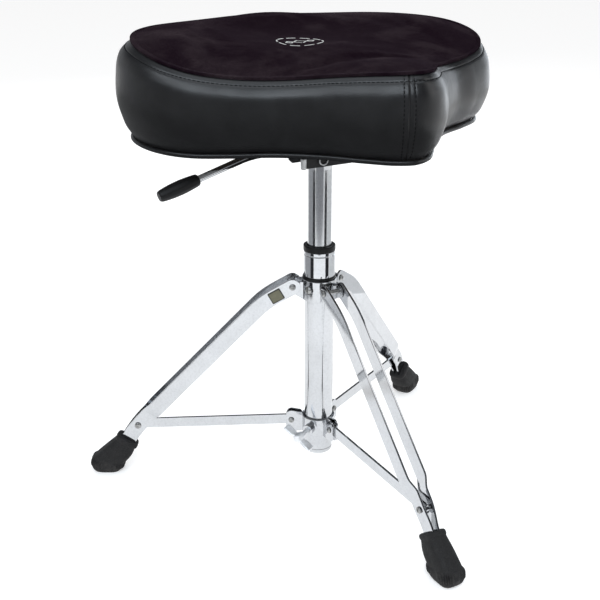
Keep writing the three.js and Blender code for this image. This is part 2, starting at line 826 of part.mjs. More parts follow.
function legStrip(side) {
  const stations = stripStations();
  const rings = stations.map(({ at, half, inner }, i) => {
    const before = stations[Math.max(i - 1, 0)].at;
    const after = stations[Math.min(i + 1, stations.length - 1)].at;
    const length = Math.hypot(after[0] - before[0], after[1] - before[1]);
    const up = [(before[1] - after[1]) / length, (after[0] - before[0]) / length];
    const corner = (sign, y) => point(at[0] + sign * half * up[0], side * y, at[1] + sign * half * up[1]);
    const outer = inner + STRIP_THICKNESS;
    return [corner(1, inner), corner(1, outer), corner(-1, outer), corner(-1, inner)];
  });
  return cut(
    loft(rings),
    crossPin(LEG_PIVOT, -20, 20, PIN_RADIUS + GAP),
    crossPin(BRACE_RIVET, -20, 20, PIN_RADIUS + GAP),
  );
}

// Half of the brace rivet: a head outside the strip and a shoulder that stops short of the brace.
function braceRivetHalf(side) {
  const outer = STRIP_INNER_AT_RIVET + STRIP_THICKNESS + 0.8;
  const shoulder = BRACE_HALF_THICKNESS + 0.5;
  return join(
    crossPin(BRACE_RIVET, side * shoulder, side * (outer + 0.6), PIN_RADIUS - 0.1),
    crossPin(BRACE_RIVET, side * outer, side * (outer + 1.4), 3.9),
  );
}

function brace() {
  const [innerR, innerZ] = COLLAR_PIN;
  const [outerR, outerZ] = BRACE_RIVET;
  const slope = Math.atan2(outerZ - innerZ, outerR - innerR);
  const bar = new THREE.Shape();
  bar.absarc(outerR, outerZ, BRACE_HALF_WIDTH, slope - Math.PI / 2, slope + Math.PI / 2, false);
  bar.absarc(innerR, innerZ, BRACE_HALF_WIDTH, slope + Math.PI / 2, slope + 1.5 * Math.PI, false);
  return cut(
    uprightPlate(bar, -BRACE_HALF_THICKNESS, BRACE_HALF_THICKNESS, 6),
    crossPin(COLLAR_PIN, -5, 5, PIN_RADIUS + GAP),
  );
}

// A hollow rubber boot: its ribbed mouth is tilted with the leg, and its sole is flat on the floor.
// A cosine or sine bent towards a square's outline; the boots have rounded square sections.
function squared(value) {
  return Math.sign(value) * Math.abs(value) ** BOOT_SQUARENESS;
}

function rubberBoot() {
  const sides = 16;
  const rings = BOOT_SECTIONS.map(([r, z, tilt, reach, halfWidth]) =>
    Array.from({ length: sides }, (_, i) => {
      const angle = (2 * Math.PI * i) / sides;
      const forward = reach * squared(Math.cos(angle));
      const aside = halfWidth * squared(Math.sin(angle));
      const lean = radians(tilt);
      return point(r + forward * Math.cos(lean), aside, z + forward * Math.sin(lean));
    }),
  );
  const pocketHalf = STRIP_INNER_AT_FOOT + STRIP_THICKNESS + 0.4;
  const pocketWide = STRIP_HALF_WIDTH + 0.5;
  const pocketLength = 60;
  const slope = radians(LOWER_LEG_SLOPE);
  const depth = LOWER_LEG_LENGTH + 0.7;
  const pocket = block([-pocketLength, -pocketHalf, -pocketWide], [0, pocketHalf, pocketWide])
    .rotateY(slope)
    .translate(BRACE_RIVET[0] + depth * Math.cos(slope), 0, BRACE_RIVET[1] - depth * Math.sin(slope));
  return cut(loft(rings), pocket);
}

function legLabel() {
  const [r, z] = along(LEG_PIVOT, LEG_KNEE, 22);
  const near = STRIP_INNER_WIDE + STRIP_THICKNESS + GAP;
  const slope = Math.atan2(LEG_PIVOT[1] - LEG_KNEE[1], LEG_KNEE[0] - LEG_PIVOT[0]);
  return block([-8, near, -7], [8, near + 0.7, 7]).rotateY(slope).translate(r, 0, z);
}

function legPieces(name) {
  const strips = [
    piece(`${name}_leg_strip_a`, legStrip(1), CHROME),
    piece(`${name}_leg_strip_b`, legStrip(-1), CHROME),
  ];
  return [
    ...strips,
    piece(`${name}_pivot_pin`, legPivotPin(), STEEL),
    piece(`${name}_brace_rivet_a`, braceRivetHalf(1), STEEL),
    piece(`${name}_brace_rivet_b`, braceRivetHalf(-1), STEEL),
    piece(`${name}_brace`, brace(), CHROME),
    piece(`${name}_collar_pin`, collarPin(), STEEL),
    piece(`${name}_boot`, rubberBoot(), RUBBER),
  ];
}

// ---------------------------------------------------------------- assembly

const throne = new THREE.Group();
throne.position.y = COLUMN_Y;
throne.add(...columnPieces(), ...gasSpringPieces(), ...seatPieces());
throne.add(piece("upper_hub", upperHub(), CHROME), piece("lower_hub", lowerHub(), CHROME));
throne.add(turnedTo(WING_AZIMUTH, piece("wing_bolt", wingBolt(), CHROME)));
SCREW_AZIMUTHS.forEach((azimuth, i) => {
  throne.add(turnedTo(azimuth, piece(`hub_screw_${i + 1}`, hubScrew(), STEEL)));
});
for (const [name, azimuth] of Object.entries(LEG_AZIMUTHS)) {
  throne.add(turnedTo(azimuth, ...legPieces(name)));
}
throne.add(turnedTo(LEG_AZIMUTHS.right, piece("leg_label", legLabel(), LABEL)));

const part = new THREE.Group();
part.add(throne);

export default part;
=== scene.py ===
"""The looks of a drum throne: a padded saddle seat on a gas column over a folding chrome tripod.

Shapes are drawn in millimetres round the column's axis, +Z up, and moved into the frame when they are done.
"""
import math
import random

import bmesh
import bpy
from mathutils import Matrix, Vector
from mathutils.bvhtree import BVHTree
from mathutils.kdtree import KDTree


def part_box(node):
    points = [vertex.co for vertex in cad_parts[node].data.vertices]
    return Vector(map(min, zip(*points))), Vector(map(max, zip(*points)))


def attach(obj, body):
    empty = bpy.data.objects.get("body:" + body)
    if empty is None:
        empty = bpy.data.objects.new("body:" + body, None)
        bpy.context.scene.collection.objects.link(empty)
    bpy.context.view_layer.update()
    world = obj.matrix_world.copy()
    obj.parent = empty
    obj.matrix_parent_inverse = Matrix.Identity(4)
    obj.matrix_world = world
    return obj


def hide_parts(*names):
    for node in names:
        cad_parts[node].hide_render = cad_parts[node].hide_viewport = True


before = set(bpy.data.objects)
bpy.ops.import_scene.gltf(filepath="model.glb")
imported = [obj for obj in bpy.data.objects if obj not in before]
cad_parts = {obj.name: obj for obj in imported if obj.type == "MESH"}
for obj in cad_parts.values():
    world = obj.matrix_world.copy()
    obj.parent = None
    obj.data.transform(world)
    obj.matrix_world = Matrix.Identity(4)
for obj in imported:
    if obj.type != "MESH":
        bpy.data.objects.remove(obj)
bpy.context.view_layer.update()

# ---------------------------------------------------------------- sizes, in millimetres

MM = 0.001
column_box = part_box("column_tube")
COLUMN_Y = (column_box[0][1] + column_box[1][1]) / 2
TO_FRAME = Matrix.Translation((0, COLUMN_Y, 0)) @ Matrix.Scale(MM, 4)


def heights(node):
    """The lowest and highest point of a CAD node."""
    low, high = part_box(node)
    return low[2] / MM, high[2] / MM


TUBE_RADIUS = 17
OVER_TUBE = TUBE_RADIUS + 0.3
SLEEVE_RADIUS = 18.4
TUBE_LOW, TUBE_TOP = heights("column_tube")
CAP_LOW = heights("tube_end_cap")[0]
SLEEVE_LOW, SLEEVE_TOP = heights("column_sleeve")
RING_LOW, RING_TOP = heights("sleeve_ring")
BUSHING_TOP = heights("post_bushing")[1]
POST_RADIUS = 14
POST_LOW, POST_TOP = heights("gas_post")
POST_BORE = 11.7
POST_FLOOR = 370

LEG_AZIMUTHS = {"front": -90, "right": 150, "left": 30}  # degrees from +X
LEG_PIVOT = (31, 247)  # (radius, height)
LEG_KNEE = (64, 228)
BRACE_RIVET = (221, 64)
LOWER_LEG_SLOPE = 57
LOWER_LEG_LENGTH = 57
STRIP_HALF_WIDTH = 9.3
STRIP_THICKNESS = 2.5
HUB_LOW, HUB_TOP = heights("upper_hub")
HUB_RADIUS = 20.3
HUB_EAR = (7.1, 9.5)  # from the leg's middle plane to the ear's inner and outer face
SCREW_Z = 245
SCREW_AZIMUTHS = (203, 323, 83)
PIN_HOLE = 2.8

COLLAR_PIN = (33, 70.5)
COLLAR_RADIUS = 20
COLLAR_LOW, COLLAR_TOP = 56, 77.5
COLLAR_EAR = (2.1, 4.4)
BRACE_HALF_WIDTH = 6.2
BRACE_HALF_THICKNESS = 1.5
WING_AZIMUTH = 210
WING_Z = 66
WING_TILT = -32
# The boot's sections from its mouth down, as (radius, height, tilt in degrees, reach along the leg,
# half width).
BOOT_SECTIONS = [
    (234.6, 43, 33, 12.2, 9.2), (234.8, 43, 33, 13.4, 10.4), (235.4, 42, 33, 14.3, 11.4),
    (237.2, 39.2, 32, 14.4, 11.8), (238, 38, 31, 13.6, 11.3), (238.8, 37, 31, 13.5, 11.3),
    (245, 29.5, 25, 15.8, 12.8), (254, 20.5, 16, 18.2, 13.6), (259.2, 15.7, 11, 19.4, 13.9),
    (259.8, 15.1, 10.5, 20.1, 14.3), (260.8, 13.8, 10, 20.4, 14.6), (262.2, 8.8, 8, 20.4, 14.6),
    (262.5, 7.9, 7.5, 20.1, 14.4), (262.6, 7.2, 7, 19.6, 14), (263.2, 3.6, 3, 17.8, 13.4),
    (262.6, 1.2, 0, 15.6, 12.2), (262.2, 0.3, 0, 14.4, 11.5), (262, 0, 0, 13.6, 11.1),
]
BOOT_KNOBS = 30
BOOT_SQUARENESS = 0.56  # 1 is an ellipse
STRIP_AT_FOOT = (2.2, 4.7)  # from the leg's middle plane to the strip's faces, inside the boot

LEVER_PIN = (-6.5, 399)  # (x, height)
LEVER_Y = -9
CHANNEL_HALF_WIDTH = 17
LEVER_BEND = Vector((-105, LEVER_Y, 408))
LEVER_SLOPE = 16
GRIP_START = 50
GRIP_LENGTH = 47
ROD_IN_GRIP = 36
GRIP_FACETS = 10
GRIP_FACET_DEPTH = 0.012

SADDLE_HALF_OUTLINE = [  # (forward, sideways) from the column's axis, at the widest height
    (196, 0), (185, 28), (160, 52), (125, 80), (99, 112), (81, 150), (58, 187), (25, 209),
    (-20, 217), (-66, 210), (-106, 188), (-137, 152), (-157, 106), (-167, 55), (-170, 0),
]
SADDLE_CENTRE_Y = 29
TYPICAL_STATION = [(Vector((217, 20, 0)), Vector((1, 0, 0)), 534.0, 0)]
SEAM_ASIDE = 18.4  # from the nose's tip to the nose seam, towards -X
RIM_WAVES = (529.2, -16.7, -2, 5.7, 4.4)  # the rim's height as a cosine series, from the nose round
DISH_HEIGHT = 517
BACK_CORNER = 108  # degrees round from the nose, where the shoulder is rounder
BACK_CORNER_WIDTH = 20
BACK_CORNER_INSET = 6
BACK_CORNER_DROP = 2.5
COVER_LOW = 432.8
WELT_Z = 430
WELT_RADIUS = 2.4
WELT_INSET = 15
BOARD_LOW = 427.1

# Rows of the cushion from its hem to the middle of its top, as (inset from the widest outline,
# scale towards the seat's centre, share of the way up to the rim, share of the way down to the dish).
SIDE_ROWS = [
    (15.6, 1, 0, 0), (5.8, 1, 0.17, 0), (0, 1, 0.45, 0), (1.5, 1, 0.66, 0), (6, 1, 0.82, 0),
    (12.2, 1, 0.915, 0), (14.2, 1, 0.94, 0),
]
TOP_ROWS = [
    (14.2, 1, 0.94, 0), (19, 1, 0.953, 0), (14.2, 0.93, 0.974, 0), (14.2, 0.85, 0.993, 0),
    (14.2, 0.76, 1, 0.05), (14.2, 0.66, 1, 0.25), (14.2, 0.42, 1, 0.7), (14.2, 0.18, 1, 0.95),
    (14.2, 0.03, 1, 1),
]
TOPSTITCH_BELOW = 8.4  # from the velvet's edge down to the row of stitches
NOSE_STITCH_ASIDE = 5.5
MOTIF_MIDDLE = Vector((-19, 12))
PUFF_LIMIT = 7
REMESH_SIZE = 5
CLOTH = {"use_pressure": True, "uniform_pressure_force": 4, "vertex_group_mass": "held",
         "tension_stiffness": 12, "compression_stiffness": 12, "bending_stiffness": 0.6}
COVER_THICKNESS = 1.6
COLUMN_STEP = 2.6  # between the cushion's columns of points, away from the nose
FINE_STEP = 0.8
# A stitch's half width along it, as (share of its length, share of its radius).
STITCH_PROFILE = ((0, 0.35), (0.07, 0.8), (0.2, 1), (0.5, 1.02), (0.8, 1), (0.93, 0.8), (1, 0.35))

# ---------------------------------------------------------------- camera, lights and floor

CAMERA_PLACE = (-0.5887, -0.9232, 0.672)
CAMERA_TURN = (68.7, 0, -29.88)
CAMERA_LENS = 62.58
WORLD_LIGHT = 0.68
FLOOR_REACH = 9
COOL = (0.86, 0.93, 1)
BLACK = (0, 0, 0)
WHITE = (1, 1, 1)
LIGHTS = (  # (name, place, height it points at, size, power, colour, seen in reflections)
    ("key", (-1.3, -1.75, 2.3), 0.45, (2.6, 0.6), 52, (0.84, 0.92, 1), True),
    ("fill", (1.9, -0.9, 1.4), 0.35, (1.4, 1.8), 10, WHITE, True),
    ("rim", (1.5, 0.65, 0.55), 0.45, (0.9, 0.7), 3.5, COOL, True),
    ("back", (0.4, 2.2, 1.7), 0.4, (2.2, 1.2), 14, WHITE, False),
)
FLAGS = (  # (name, azimuth, distance, width, low, high, colour)
    ("flag_left", -175, 0.62, 0.3, 0, 0.235, (0.03, 0.03, 0.033)),
    ("flag_right", -63, 0.62, 0.3, 0, 0.235, (0.03, 0.03, 0.033)),
    ("flag_far_left", 155, 0.6, 1, 0, 0.5, (0.4, 0.405, 0.42)),
    ("flag_far_right", -12, 0.6, 0.8, 0, 0.235, (0.76, 0.765, 0.77)),
    ("flag_middle", -121, 0.87, 1.3, 0, 0.5, (0.28, 0.285, 0.3)),
)
# The card under the cushion, which only reflections see, is painted shade: a grey sheet that darkens what the
# vinyl's lower side reflects, in place of the shaded floor. Its height, and its corners as (towards the
# camera, to the right) of the column.
CARD_BELOW_Z = 0.402
CARD_BELOW = ((0.1, 0.2), (0.62, 0.3), (0.62, -0.62), (-0.45, -0.62))
TOWARD = Vector((-0.515, -0.857, 0))
ASIDE = Vector((0.857, -0.515, 0))
CARD_ABOVE_Z = 1.8
CARD_ABOVE_REACH = 0.8


def add_camera():
    camera = bpy.data.objects.new("camera", bpy.data.cameras.new("camera"))
    camera.location = CAMERA_PLACE
    camera.rotation_euler = [math.radians(angle) for angle in CAMERA_TURN]
    camera.data.lens = CAMERA_LENS
    camera.data.sensor_width = 36
    bpy.context.scene.collection.objects.link(camera)
    bpy.context.scene.camera = camera


def add_area_light(name, place, target_z, size, power, color, reflected):
    data = bpy.data.lights.new(name, "AREA")
    data.shape = "RECTANGLE"
    data.size, data.size_y = size
    data.energy = power
    data.color = color
    light = bpy.data.objects.new(name, data)
    light.location = place
    light.rotation_euler = (Vector((0, 0, target_z)) - Vector(place)).to_track_quat("-Z", "Y").to_euler()
    light.visible_glossy = reflected
    bpy.context.scene.collection.objects.link(light)


def stage_plane(name, corners, color, tint=WHITE, glow=0.0):
    mesh = bpy.data.meshes.new(name)
    mesh.from_pydata(corners, [], [(0, 1, 2, 3)])
    plane = bpy.data.objects.new(name, mesh)
    bpy.context.scene.collection.objects.link(plane)
    look = Look(name, {"Base Color": (*color, 1), "Roughness": 0.9, "Specular IOR Level": 0.1,
                       "Emission Color": (*tint, 1), "Emission Strength": glow})
    mesh.materials.append(look.material)
    return plane


def square(reach, height):
    return [(x, y, height) for x, y in rectangle(-reach, -reach, reach, reach)]


def rectangle(left, low, right, high):
    return [(left, low), (right, low), (right, high), (left, high)]


def add_flag(name, azimuth, distance, width, low, high, color, **settings):
    """An upright card, as a photographer stands round chrome."""
    angle = math.radians(azimuth)
    middle = Vector((distance * math.cos(angle), COLUMN_Y + distance * math.sin(angle), 0))
    aside = Vector((-math.sin(angle), math.cos(angle), 0)) * width / 2
    corners = [middle - aside, middle + aside, middle + aside, middle - aside]
    corners = [corner + Vector((0, 0, height)) for corner, height in zip(corners, (low, low, high, high))]
    add_card(name, corners, color, **settings)


def add_card(name, corners, color, **settings):
    """A card that only reflections see."""
    card = stage_plane(name, corners, color, **settings)
    card.visible_camera = False
    card.visible_diffuse = False
    card.visible_shadow = False


def add_world():
    """White all round for the light; reflections see a bright horizon under a dark ceiling."""
    world = bpy.data.worlds.new("studio")
    world.use_nodes = True
    tree = world.node_tree
    nodes = tree.nodes
    height = nodes.new("ShaderNodeSeparateXYZ")
    ceiling = nodes.new("ShaderNodeValToRGB")
    seen = nodes.new("ShaderNodeLightPath")
    choose = nodes.new("ShaderNodeMix")
    choose.data_type = "RGBA"
    choose.inputs[6].default_value = (WORLD_LIGHT, WORLD_LIGHT, WORLD_LIGHT, 1)
    shown = nodes.new("ShaderNodeMix")
    shown.data_type = "RGBA"
    shown.inputs[7].default_value = (1, 1, 1, 1)
    stops = ceiling.color_ramp.elements
    stops[0].position, stops[0].color = 0.16, (0.45, 0.46, 0.48, 1)
    stops[1].position, stops[1].color = 0.34, (0.07, 0.075, 0.085, 1)
    tree.links.new(nodes.new("ShaderNodeTexCoord").outputs["Generated"], height.inputs[0])
    tree.links.new(height.outputs["Z"], ceiling.inputs["Fac"])
    tree.links.new(seen.outputs["Is Glossy Ray"], choose.inputs["Factor"])
    tree.links.new(ceiling.outputs["Color"], choose.inputs[7])
    tree.links.new(seen.outputs["Is Camera Ray"], shown.inputs["Factor"])
    tree.links.new(choose.outputs[2], shown.inputs[6])
    tree.links.new(shown.outputs[2], nodes["Background"].inputs["Color"])
    bpy.context.scene.world = world


def add_studio():
    bpy.context.scene.view_settings.view_transform = "Standard"
    add_camera()
    add_world()
    stage_plane("floor", square(FLOOR_REACH, 0), (0.85, 0.85, 0.85), glow=0.36)
    for light in LIGHTS:
        add_area_light(*light)
    for flag in FLAGS:
        add_flag(*flag)
    add_flag("card_left", -178, 1.6, 1.5, 1.45, 2.1, BLACK, tint=COOL, glow=6)
    # Painted shade: a grey card under the cushion, seen only in reflections, standing in for the shade under
    # the seat.
    middle = Vector((0, COLUMN_Y, CARD_BELOW_Z))
    below = [middle + TOWARD * toward + ASIDE * aside for toward, aside in CARD_BELOW]
    add_card("reflected_shade_card", below, (0.22, 0.22, 0.22))
    add_card("card_above", square(CARD_ABOVE_REACH, CARD_ABOVE_Z), BLACK, tint=COOL, glow=2)


# ---------------------------------------------------------------- materials


class Look:
    """A Principled material, with short calls for the nodes that vary it over the surface."""

    def __init__(self, name, constants):
        self.material = bpy.data.materials.new(name)
        self.material.use_nodes = True
        self.tree = self.material.node_tree
        self.shader = self.tree.nodes["Principled BSDF"]
        for socket, value in constants.items():
            self.shader.inputs[socket].default_value = value
        self.bumps = None

    def feed(self, socket, value):
        """Links another node's output to the socket, or sets its value."""
        if isinstance(value, bpy.types.NodeSocket):
            self.tree.links.new(value, socket)
        else:
            socket.default_value = value

    def node(self, kind, settings=None, **inputs):
        made = self.tree.nodes.new(kind)
        for key, value in (settings or {}).items():
            setattr(made, key, value)
        for key, value in inputs.items():
            self.feed(made.inputs[key.replace("_", " ")], value)
        return made

    def place(self, scale=(1, 1, 1), turn=(0, 0, 0)):
        """Object coordinates in metres, stretched and turned."""
        coordinates = self.node("ShaderNodeTexCoord").outputs["Object"]
        return self.node("ShaderNodeMapping", Vector=coordinates, Scale=scale, Rotation=turn).outputs[0]

    def noise(self, scale, detail=3.0, rough=0.5, twist=0.0, stretch=(1, 1, 1)):
        return self.node("ShaderNodeTexNoise", Vector=self.place(stretch), Scale=scale, Detail=detail,
                         Roughness=rough, Distortion=twist).outputs["Fac"]

    def cells(self, scale, feature="F1", stretch=(1, 1, 1)):
        return self.node("ShaderNodeTexVoronoi", {"feature": feature}, Vector=self.place(stretch),
                         Scale=scale).outputs["Distance"]

    def ramp(self, factor, *stops):
        """Colours or greys along factor, as (position, value) stops."""
        made = self.node("ShaderNodeValToRGB", Fac=factor)
        ends = made.color_ramp.elements
        for i, (position, value) in enumerate(stops):
            stop = ends[i] if i < 2 else ends.new(position)
            stop.position = position
            stop.color = (*value, 1) if isinstance(value, tuple) else (value, value, value, 1)
        return made.outputs["Color"]

    def span(self, factor, low, high, to_low, to_high):
        return self.node("ShaderNodeMapRange", {"clamp": True}, Value=factor, From_Min=low, From_Max=high,
                         To_Min=to_low, To_Max=to_high).outputs[0]

    def maths(self, operation, first, second):
        made = self.node("ShaderNodeMath", {"operation": operation})
        self.feed(made.inputs[0], first)
        self.feed(made.inputs[1], second)
        return made.outputs[0]

    def mix(self, factor, first, second):
        made = self.node("ShaderNodeMix", {"data_type": "RGBA"}, Factor=factor)
        for socket, value in zip((made.inputs[6], made.inputs[7]), (first, second)):
            self.feed(socket, (*value, 1) if isinstance(value, tuple) else value)
        return made.outputs[2]

    def scaled(self, factor, color, share):
        """From a colour to share times that colour."""
        return self.mix(factor, color, tuple(share * channel for channel in color))

    def vary(self, socket, value):
        self.tree.links.new(value, self.shader.inputs[socket])

    def roughen(self, factor, low, high):
        self.vary("Roughness", self.span(factor, 0.3, 0.7, low, high))

    def bump(self, height, depth, strength=1.0):
        """Adds relief of that depth in millimetres on top of any given before."""
        inputs = {"Height": height, "Strength": strength, "Distance": depth * MM}
        if self.bumps is not None:
            inputs["Normal"] = self.bumps
        self.bumps = self.node("ShaderNodeBump", None, **inputs).outputs[0]
        self.tree.links.new(self.bumps, self.shader.inputs["Normal"])


def chrome_look(name, color, roughness):
    look = Look(name, {"Base Color": (*color, 1), "Metallic": 1.0})
    smudges = look.noise(24, detail=5, rough=0.6, twist=0.8)
    specks = look.noise(700, detail=2)
    worn = look.span(smudges, 0.42, 0.7, roughness, roughness * 2.6)
    look.vary("Roughness", look.maths("ADD", worn, look.span(specks, 0.6, 0.8, 0, 0.05)))
    tint = look.scaled(look.span(smudges, 0.4, 0.75, 0, 1), color, 0.9)
    mottle = look.span(look.noise(420, detail=4, rough=0.65), 0.45, 0.75, 0, 0.5)
    look.vary("Base Color", look.mix(mottle, tint, tuple(0.72 * channel for channel in color)))
    look.bump(look.noise(38, detail=1), 0.05)
    return look.material


def post_look(name, color, roughness):
    """Ground and hard-chromed: even, with fine grinding marks round the post."""
    look = Look(name, {"Metallic": 1.0})
    marks = look.noise(340, detail=3, stretch=(0.05, 0.05, 1))
    look.vary("Base Color", look.scaled(look.span(marks, 0.3, 0.7, 0, 1), color, 0.88))
    look.roughen(marks, roughness * 0.8, roughness * 1.3)
    look.bump(marks, 0.008)
    return look.material


def steel_look(name, color, roughness):
    """Zinc-plated steel: soft, slightly blotchy, with fine brushing."""
    look = Look(name, {"Base Color": (*color, 1), "Metallic": 1.0})
    blotches = look.noise(180, detail=4)
    look.vary("Base Color", look.scaled(look.span(blotches, 0.35, 0.65, 0, 1), color, 0.72))
    brushing = look.noise(900, detail=2, stretch=(1, 1, 0.08))
    look.roughen(brushing, roughness * 0.8, roughness * 1.35)
    look.bump(brushing, 0.02)
    return look.material


def satin_look(name, specular, grain_scale, clouds, shades, roughness, relief):
    """A black surface with a fine relief, its shade faintly cloudy."""
    look = Look(name, {"Specular IOR Level": specular})
    grain = look.noise(grain_scale, detail=2)
    look.vary("Base Color", look.ramp(look.noise(*clouds), (0.3, shades[0]), (0.75, shades[1])))
    look.roughen(grain, *roughness)
    look.bump(grain, relief)
    return look.material


def painted_look(name):
    """Satin black powder coat, with its fine orange peel."""
    shades = ((0.008, 0.008, 0.009), (0.022, 0.022, 0.024))
    return satin_look(name, 0.2, 650, (60, 4), shades, (0.34, 0.5), 0.05)


def plastic_look(name):
    shades = ((0.003, 0.003, 0.0034), (0.007, 0.007, 0.0072))
    return satin_look(name, 0.22, 1400, (45, 3), shades, (0.3, 0.45), 0.04)


def rubber_look(name):
    """Moulded rubber, dusty near the floor."""
    look = Look(name, {"Specular IOR Level": 0.24})
    height = look.node("ShaderNodeSeparateXYZ", Vector=look.place()).outputs["Z"]
    blotches = look.noise(120, detail=6, rough=0.65)
    near_floor = look.span(height, 0.0, 0.022, 0.55, 0.0)
    dust = look.maths("MULTIPLY", look.span(blotches, 0.42, 0.62, 0, 1), near_floor)
    body = look.ramp(look.noise(900, detail=3), (0.3, (0.008, 0.0078, 0.008)), (0.7, (0.019, 0.0185, 0.019)))
    look.vary("Base Color", look.mix(dust, body, (0.075, 0.07, 0.066)))
    look.roughen(blotches, 0.62, 0.85)
    look.bump(look.noise(1500, detail=2), 0.06)
    look.bump(blotches, 0.12)
    return look.material


def velvet_look(name):
    """Short-pile velvet with brushed, cloudy patches."""
    look = Look(name, {"Roughness": 0.95, "Specular IOR Level": 0.0, "Sheen Weight": 0.05,
                       "Sheen Roughness": 0.35, "Sheen Tint": (0.62, 0.5, 0.6, 1)})
    clouds = look.noise(12, detail=5, rough=0.6, twist=0.5)
    wisps = look.noise(46, detail=4, rough=0.6, twist=0.3)
    nap = look.maths("ADD", look.span(clouds, 0.47, 0.68, 0, 0.9), look.span(wisps, 0.52, 0.8, 0, 0.3))
    tufts = look.noise(520, detail=4, rough=0.75)
    pile = look.noise(2600, detail=2)
    shade = look.mix(nap, (0.0085, 0.004, 0.007), (0.036, 0.026, 0.030))
    flecks = look.maths("ADD", look.span(pile, 0.35, 0.7, 0.4, 0), look.span(tufts, 0.4, 0.6, 0.35, -0.1))
    look.vary("Base Color", look.mix(flecks, shade, (0.004, 0.002, 0.004)))
    look.bump(pile, 0.3)
    look.bump(wisps, 0.5)
    return look.material


def vinyl_look(name):
    """Glossy black vinyl with a fine leather grain."""
    look = Look(name, {"Specular IOR Level": 0.34, "Coat Weight": 0.02, "Coat Roughness": 0.2})
    broad = look.noise(30, detail=3, twist=0.5)
    look.vary("Base Color", look.ramp(broad, (0.3, (0.005, 0.005, 0.0055)), (0.7, (0.0085, 0.0085, 0.0092))))
    grain = look.cells(1250, "DISTANCE_TO_EDGE", stretch=(1, 1, 0.8))
    look.roughen(broad, 0.3, 0.38)
    look.bump(look.span(grain, 0.0, 0.35, 0, 1), 0.028)
    look.bump(look.noise(2400, detail=2), 0.012)
    look.bump(broad, 0.5)
    return look.material


def thread_look(name, color):
    look = Look(name, {"Specular IOR Level": 0.12})
    twist = look.noise(5200, detail=1, stretch=(1, 1, 0.4))
    look.vary("Base Color", look.scaled(twist, color, 0.5))
    look.roughen(twist, 0.45, 0.7)
    look.bump(twist, 0.05)
    return look.material


def label_look(name, color):
    """Printed foil, slightly scuffed."""
    look = Look(name, {"Specular IOR Level": 0.4})
    scuffs = look.noise(260, detail=5, stretch=(1, 1, 3))
    look.vary("Base Color", look.scaled(look.span(scuffs, 0.5, 0.75, 0, 0.6), color, 1.5))
    look.roughen(scuffs, 0.4, 0.6)
    look.bump(scuffs, 0.02)
    return look.material


def plywood_look(name):
    """Black-stained plywood, the grain showing faintly."""
    look = Look(name, {"Specular IOR Level": 0.3})
    grain = look.noise(60, detail=6, rough=0.6, twist=1.5, stretch=(0.12, 1, 1))
    look.vary("Base Color", look.ramp(grain, (0.35, (0.01, 0.008, 0.006)), (0.65, (0.035, 0.027, 0.02))))
    look.roughen(grain, 0.6, 0.8)
    look.bump(grain, 0.15)
    return look.material


# ---------------------------------------------------------------- shapes


def solid(points, faces):
    """A mesh object in millimetres, its faces turned outwards."""
    mesh = bpy.data.meshes.new("shape")
    mesh.from_pydata([tuple(point) for point in points], [], faces)
    edit = bmesh.new()
    edit.from_mesh(mesh)
    bmesh.ops.recalc_face_normals(edit, faces=edit.faces)
    edit.to_mesh(mesh)
    edit.free()
    obj = bpy.data.objects.new("shape", mesh)
    bpy.context.scene.collection.objects.link(obj)
    return obj


def bake_modifiers(obj):
    evaluated = obj.evaluated_get(bpy.context.evaluated_depsgraph_get())
    mesh = bpy.data.meshes.new_from_object(evaluated)
    obj.modifiers.clear()
    obj.data = mesh


def combine(target, operation, *tools):
    """Joins tools to target or cuts them from it, and uses them up."""
    for tool in tools:
        modifier = target.modifiers.new("combine", "BOOLEAN")
        modifier.operation = operation
        modifier.solver = "EXACT"
        modifier.object = tool
    bake_modifiers(target)
    for tool in tools:
        bpy.data.objects.remove(tool)
    return target


def join(target, *tools):
    return combine(target, "UNION", *tools)


def cut(target, *tools):
    return combine(target, "DIFFERENCE", *tools)


def soften(obj, width, segments=2, least_angle=30):
    """Rounds the sharp edges over."""
    edit = bmesh.new()
    edit.from_mesh(obj.data)
    edges = [e for e in edit.edges if len(e.link_faces) == 2
             and e.calc_face_angle() > math.radians(least_angle)]
    bmesh.ops.bevel(edit, geom=edges, offset=width, segments=segments, profile=0.5, affect="EDGES",
                    clamp_overlap=True)
    edit.to_mesh(obj.data)
    edit.free()
    return obj


def moved(obj, matrix):
    obj.data.transform(matrix)
    return obj


def pose(x, y, z, angle, axis="Y"):
    """Turned by an angle in radians about an axis, then placed."""
    return Matrix.Translation((x, y, z)) @ Matrix.Rotation(angle, 4, axis)


def turned(obj, azimuth):
    return moved(obj, Matrix.Rotation(math.radians(azimuth), 4, "Z"))


def rounded(corners, radius, closed=True, steps=4):
    """The outline with a curve at each corner, starting radius before it or less on short sides."""
    result = []
    count = len(corners)
    for i, corner in enumerate(corners):
        here = Vector(corner)
        if not closed and i in (0, count - 1):
            result.append(here)
            continue
        before = Vector(corners[i - 1]) - here
        after = Vector(corners[(i + 1) % count]) - here
        start = here + before.normalized() * min(radius, before.length * 0.45)
        end = here + after.normalized() * min(radius, after.length * 0.45)
        for step in range(steps + 1):
            t = step / steps
            result.append(start * (1 - t) ** 2 + here * 2 * t * (1 - t) + end * t * t)
    return result


def arc(centre, radius, start, end, steps=12):
    """Points on a circle in a plane, from one angle in degrees to another."""
    angles = [math.radians(start + (end - start) * i / steps) for i in range(steps + 1)]
    return [(centre[0] + radius * math.cos(a), centre[1] + radius * math.sin(a)) for a in angles]


def turns(count):
    """The angles of so many equal steps round a circle."""
    return [2 * math.pi * i / count for i in range(count)]


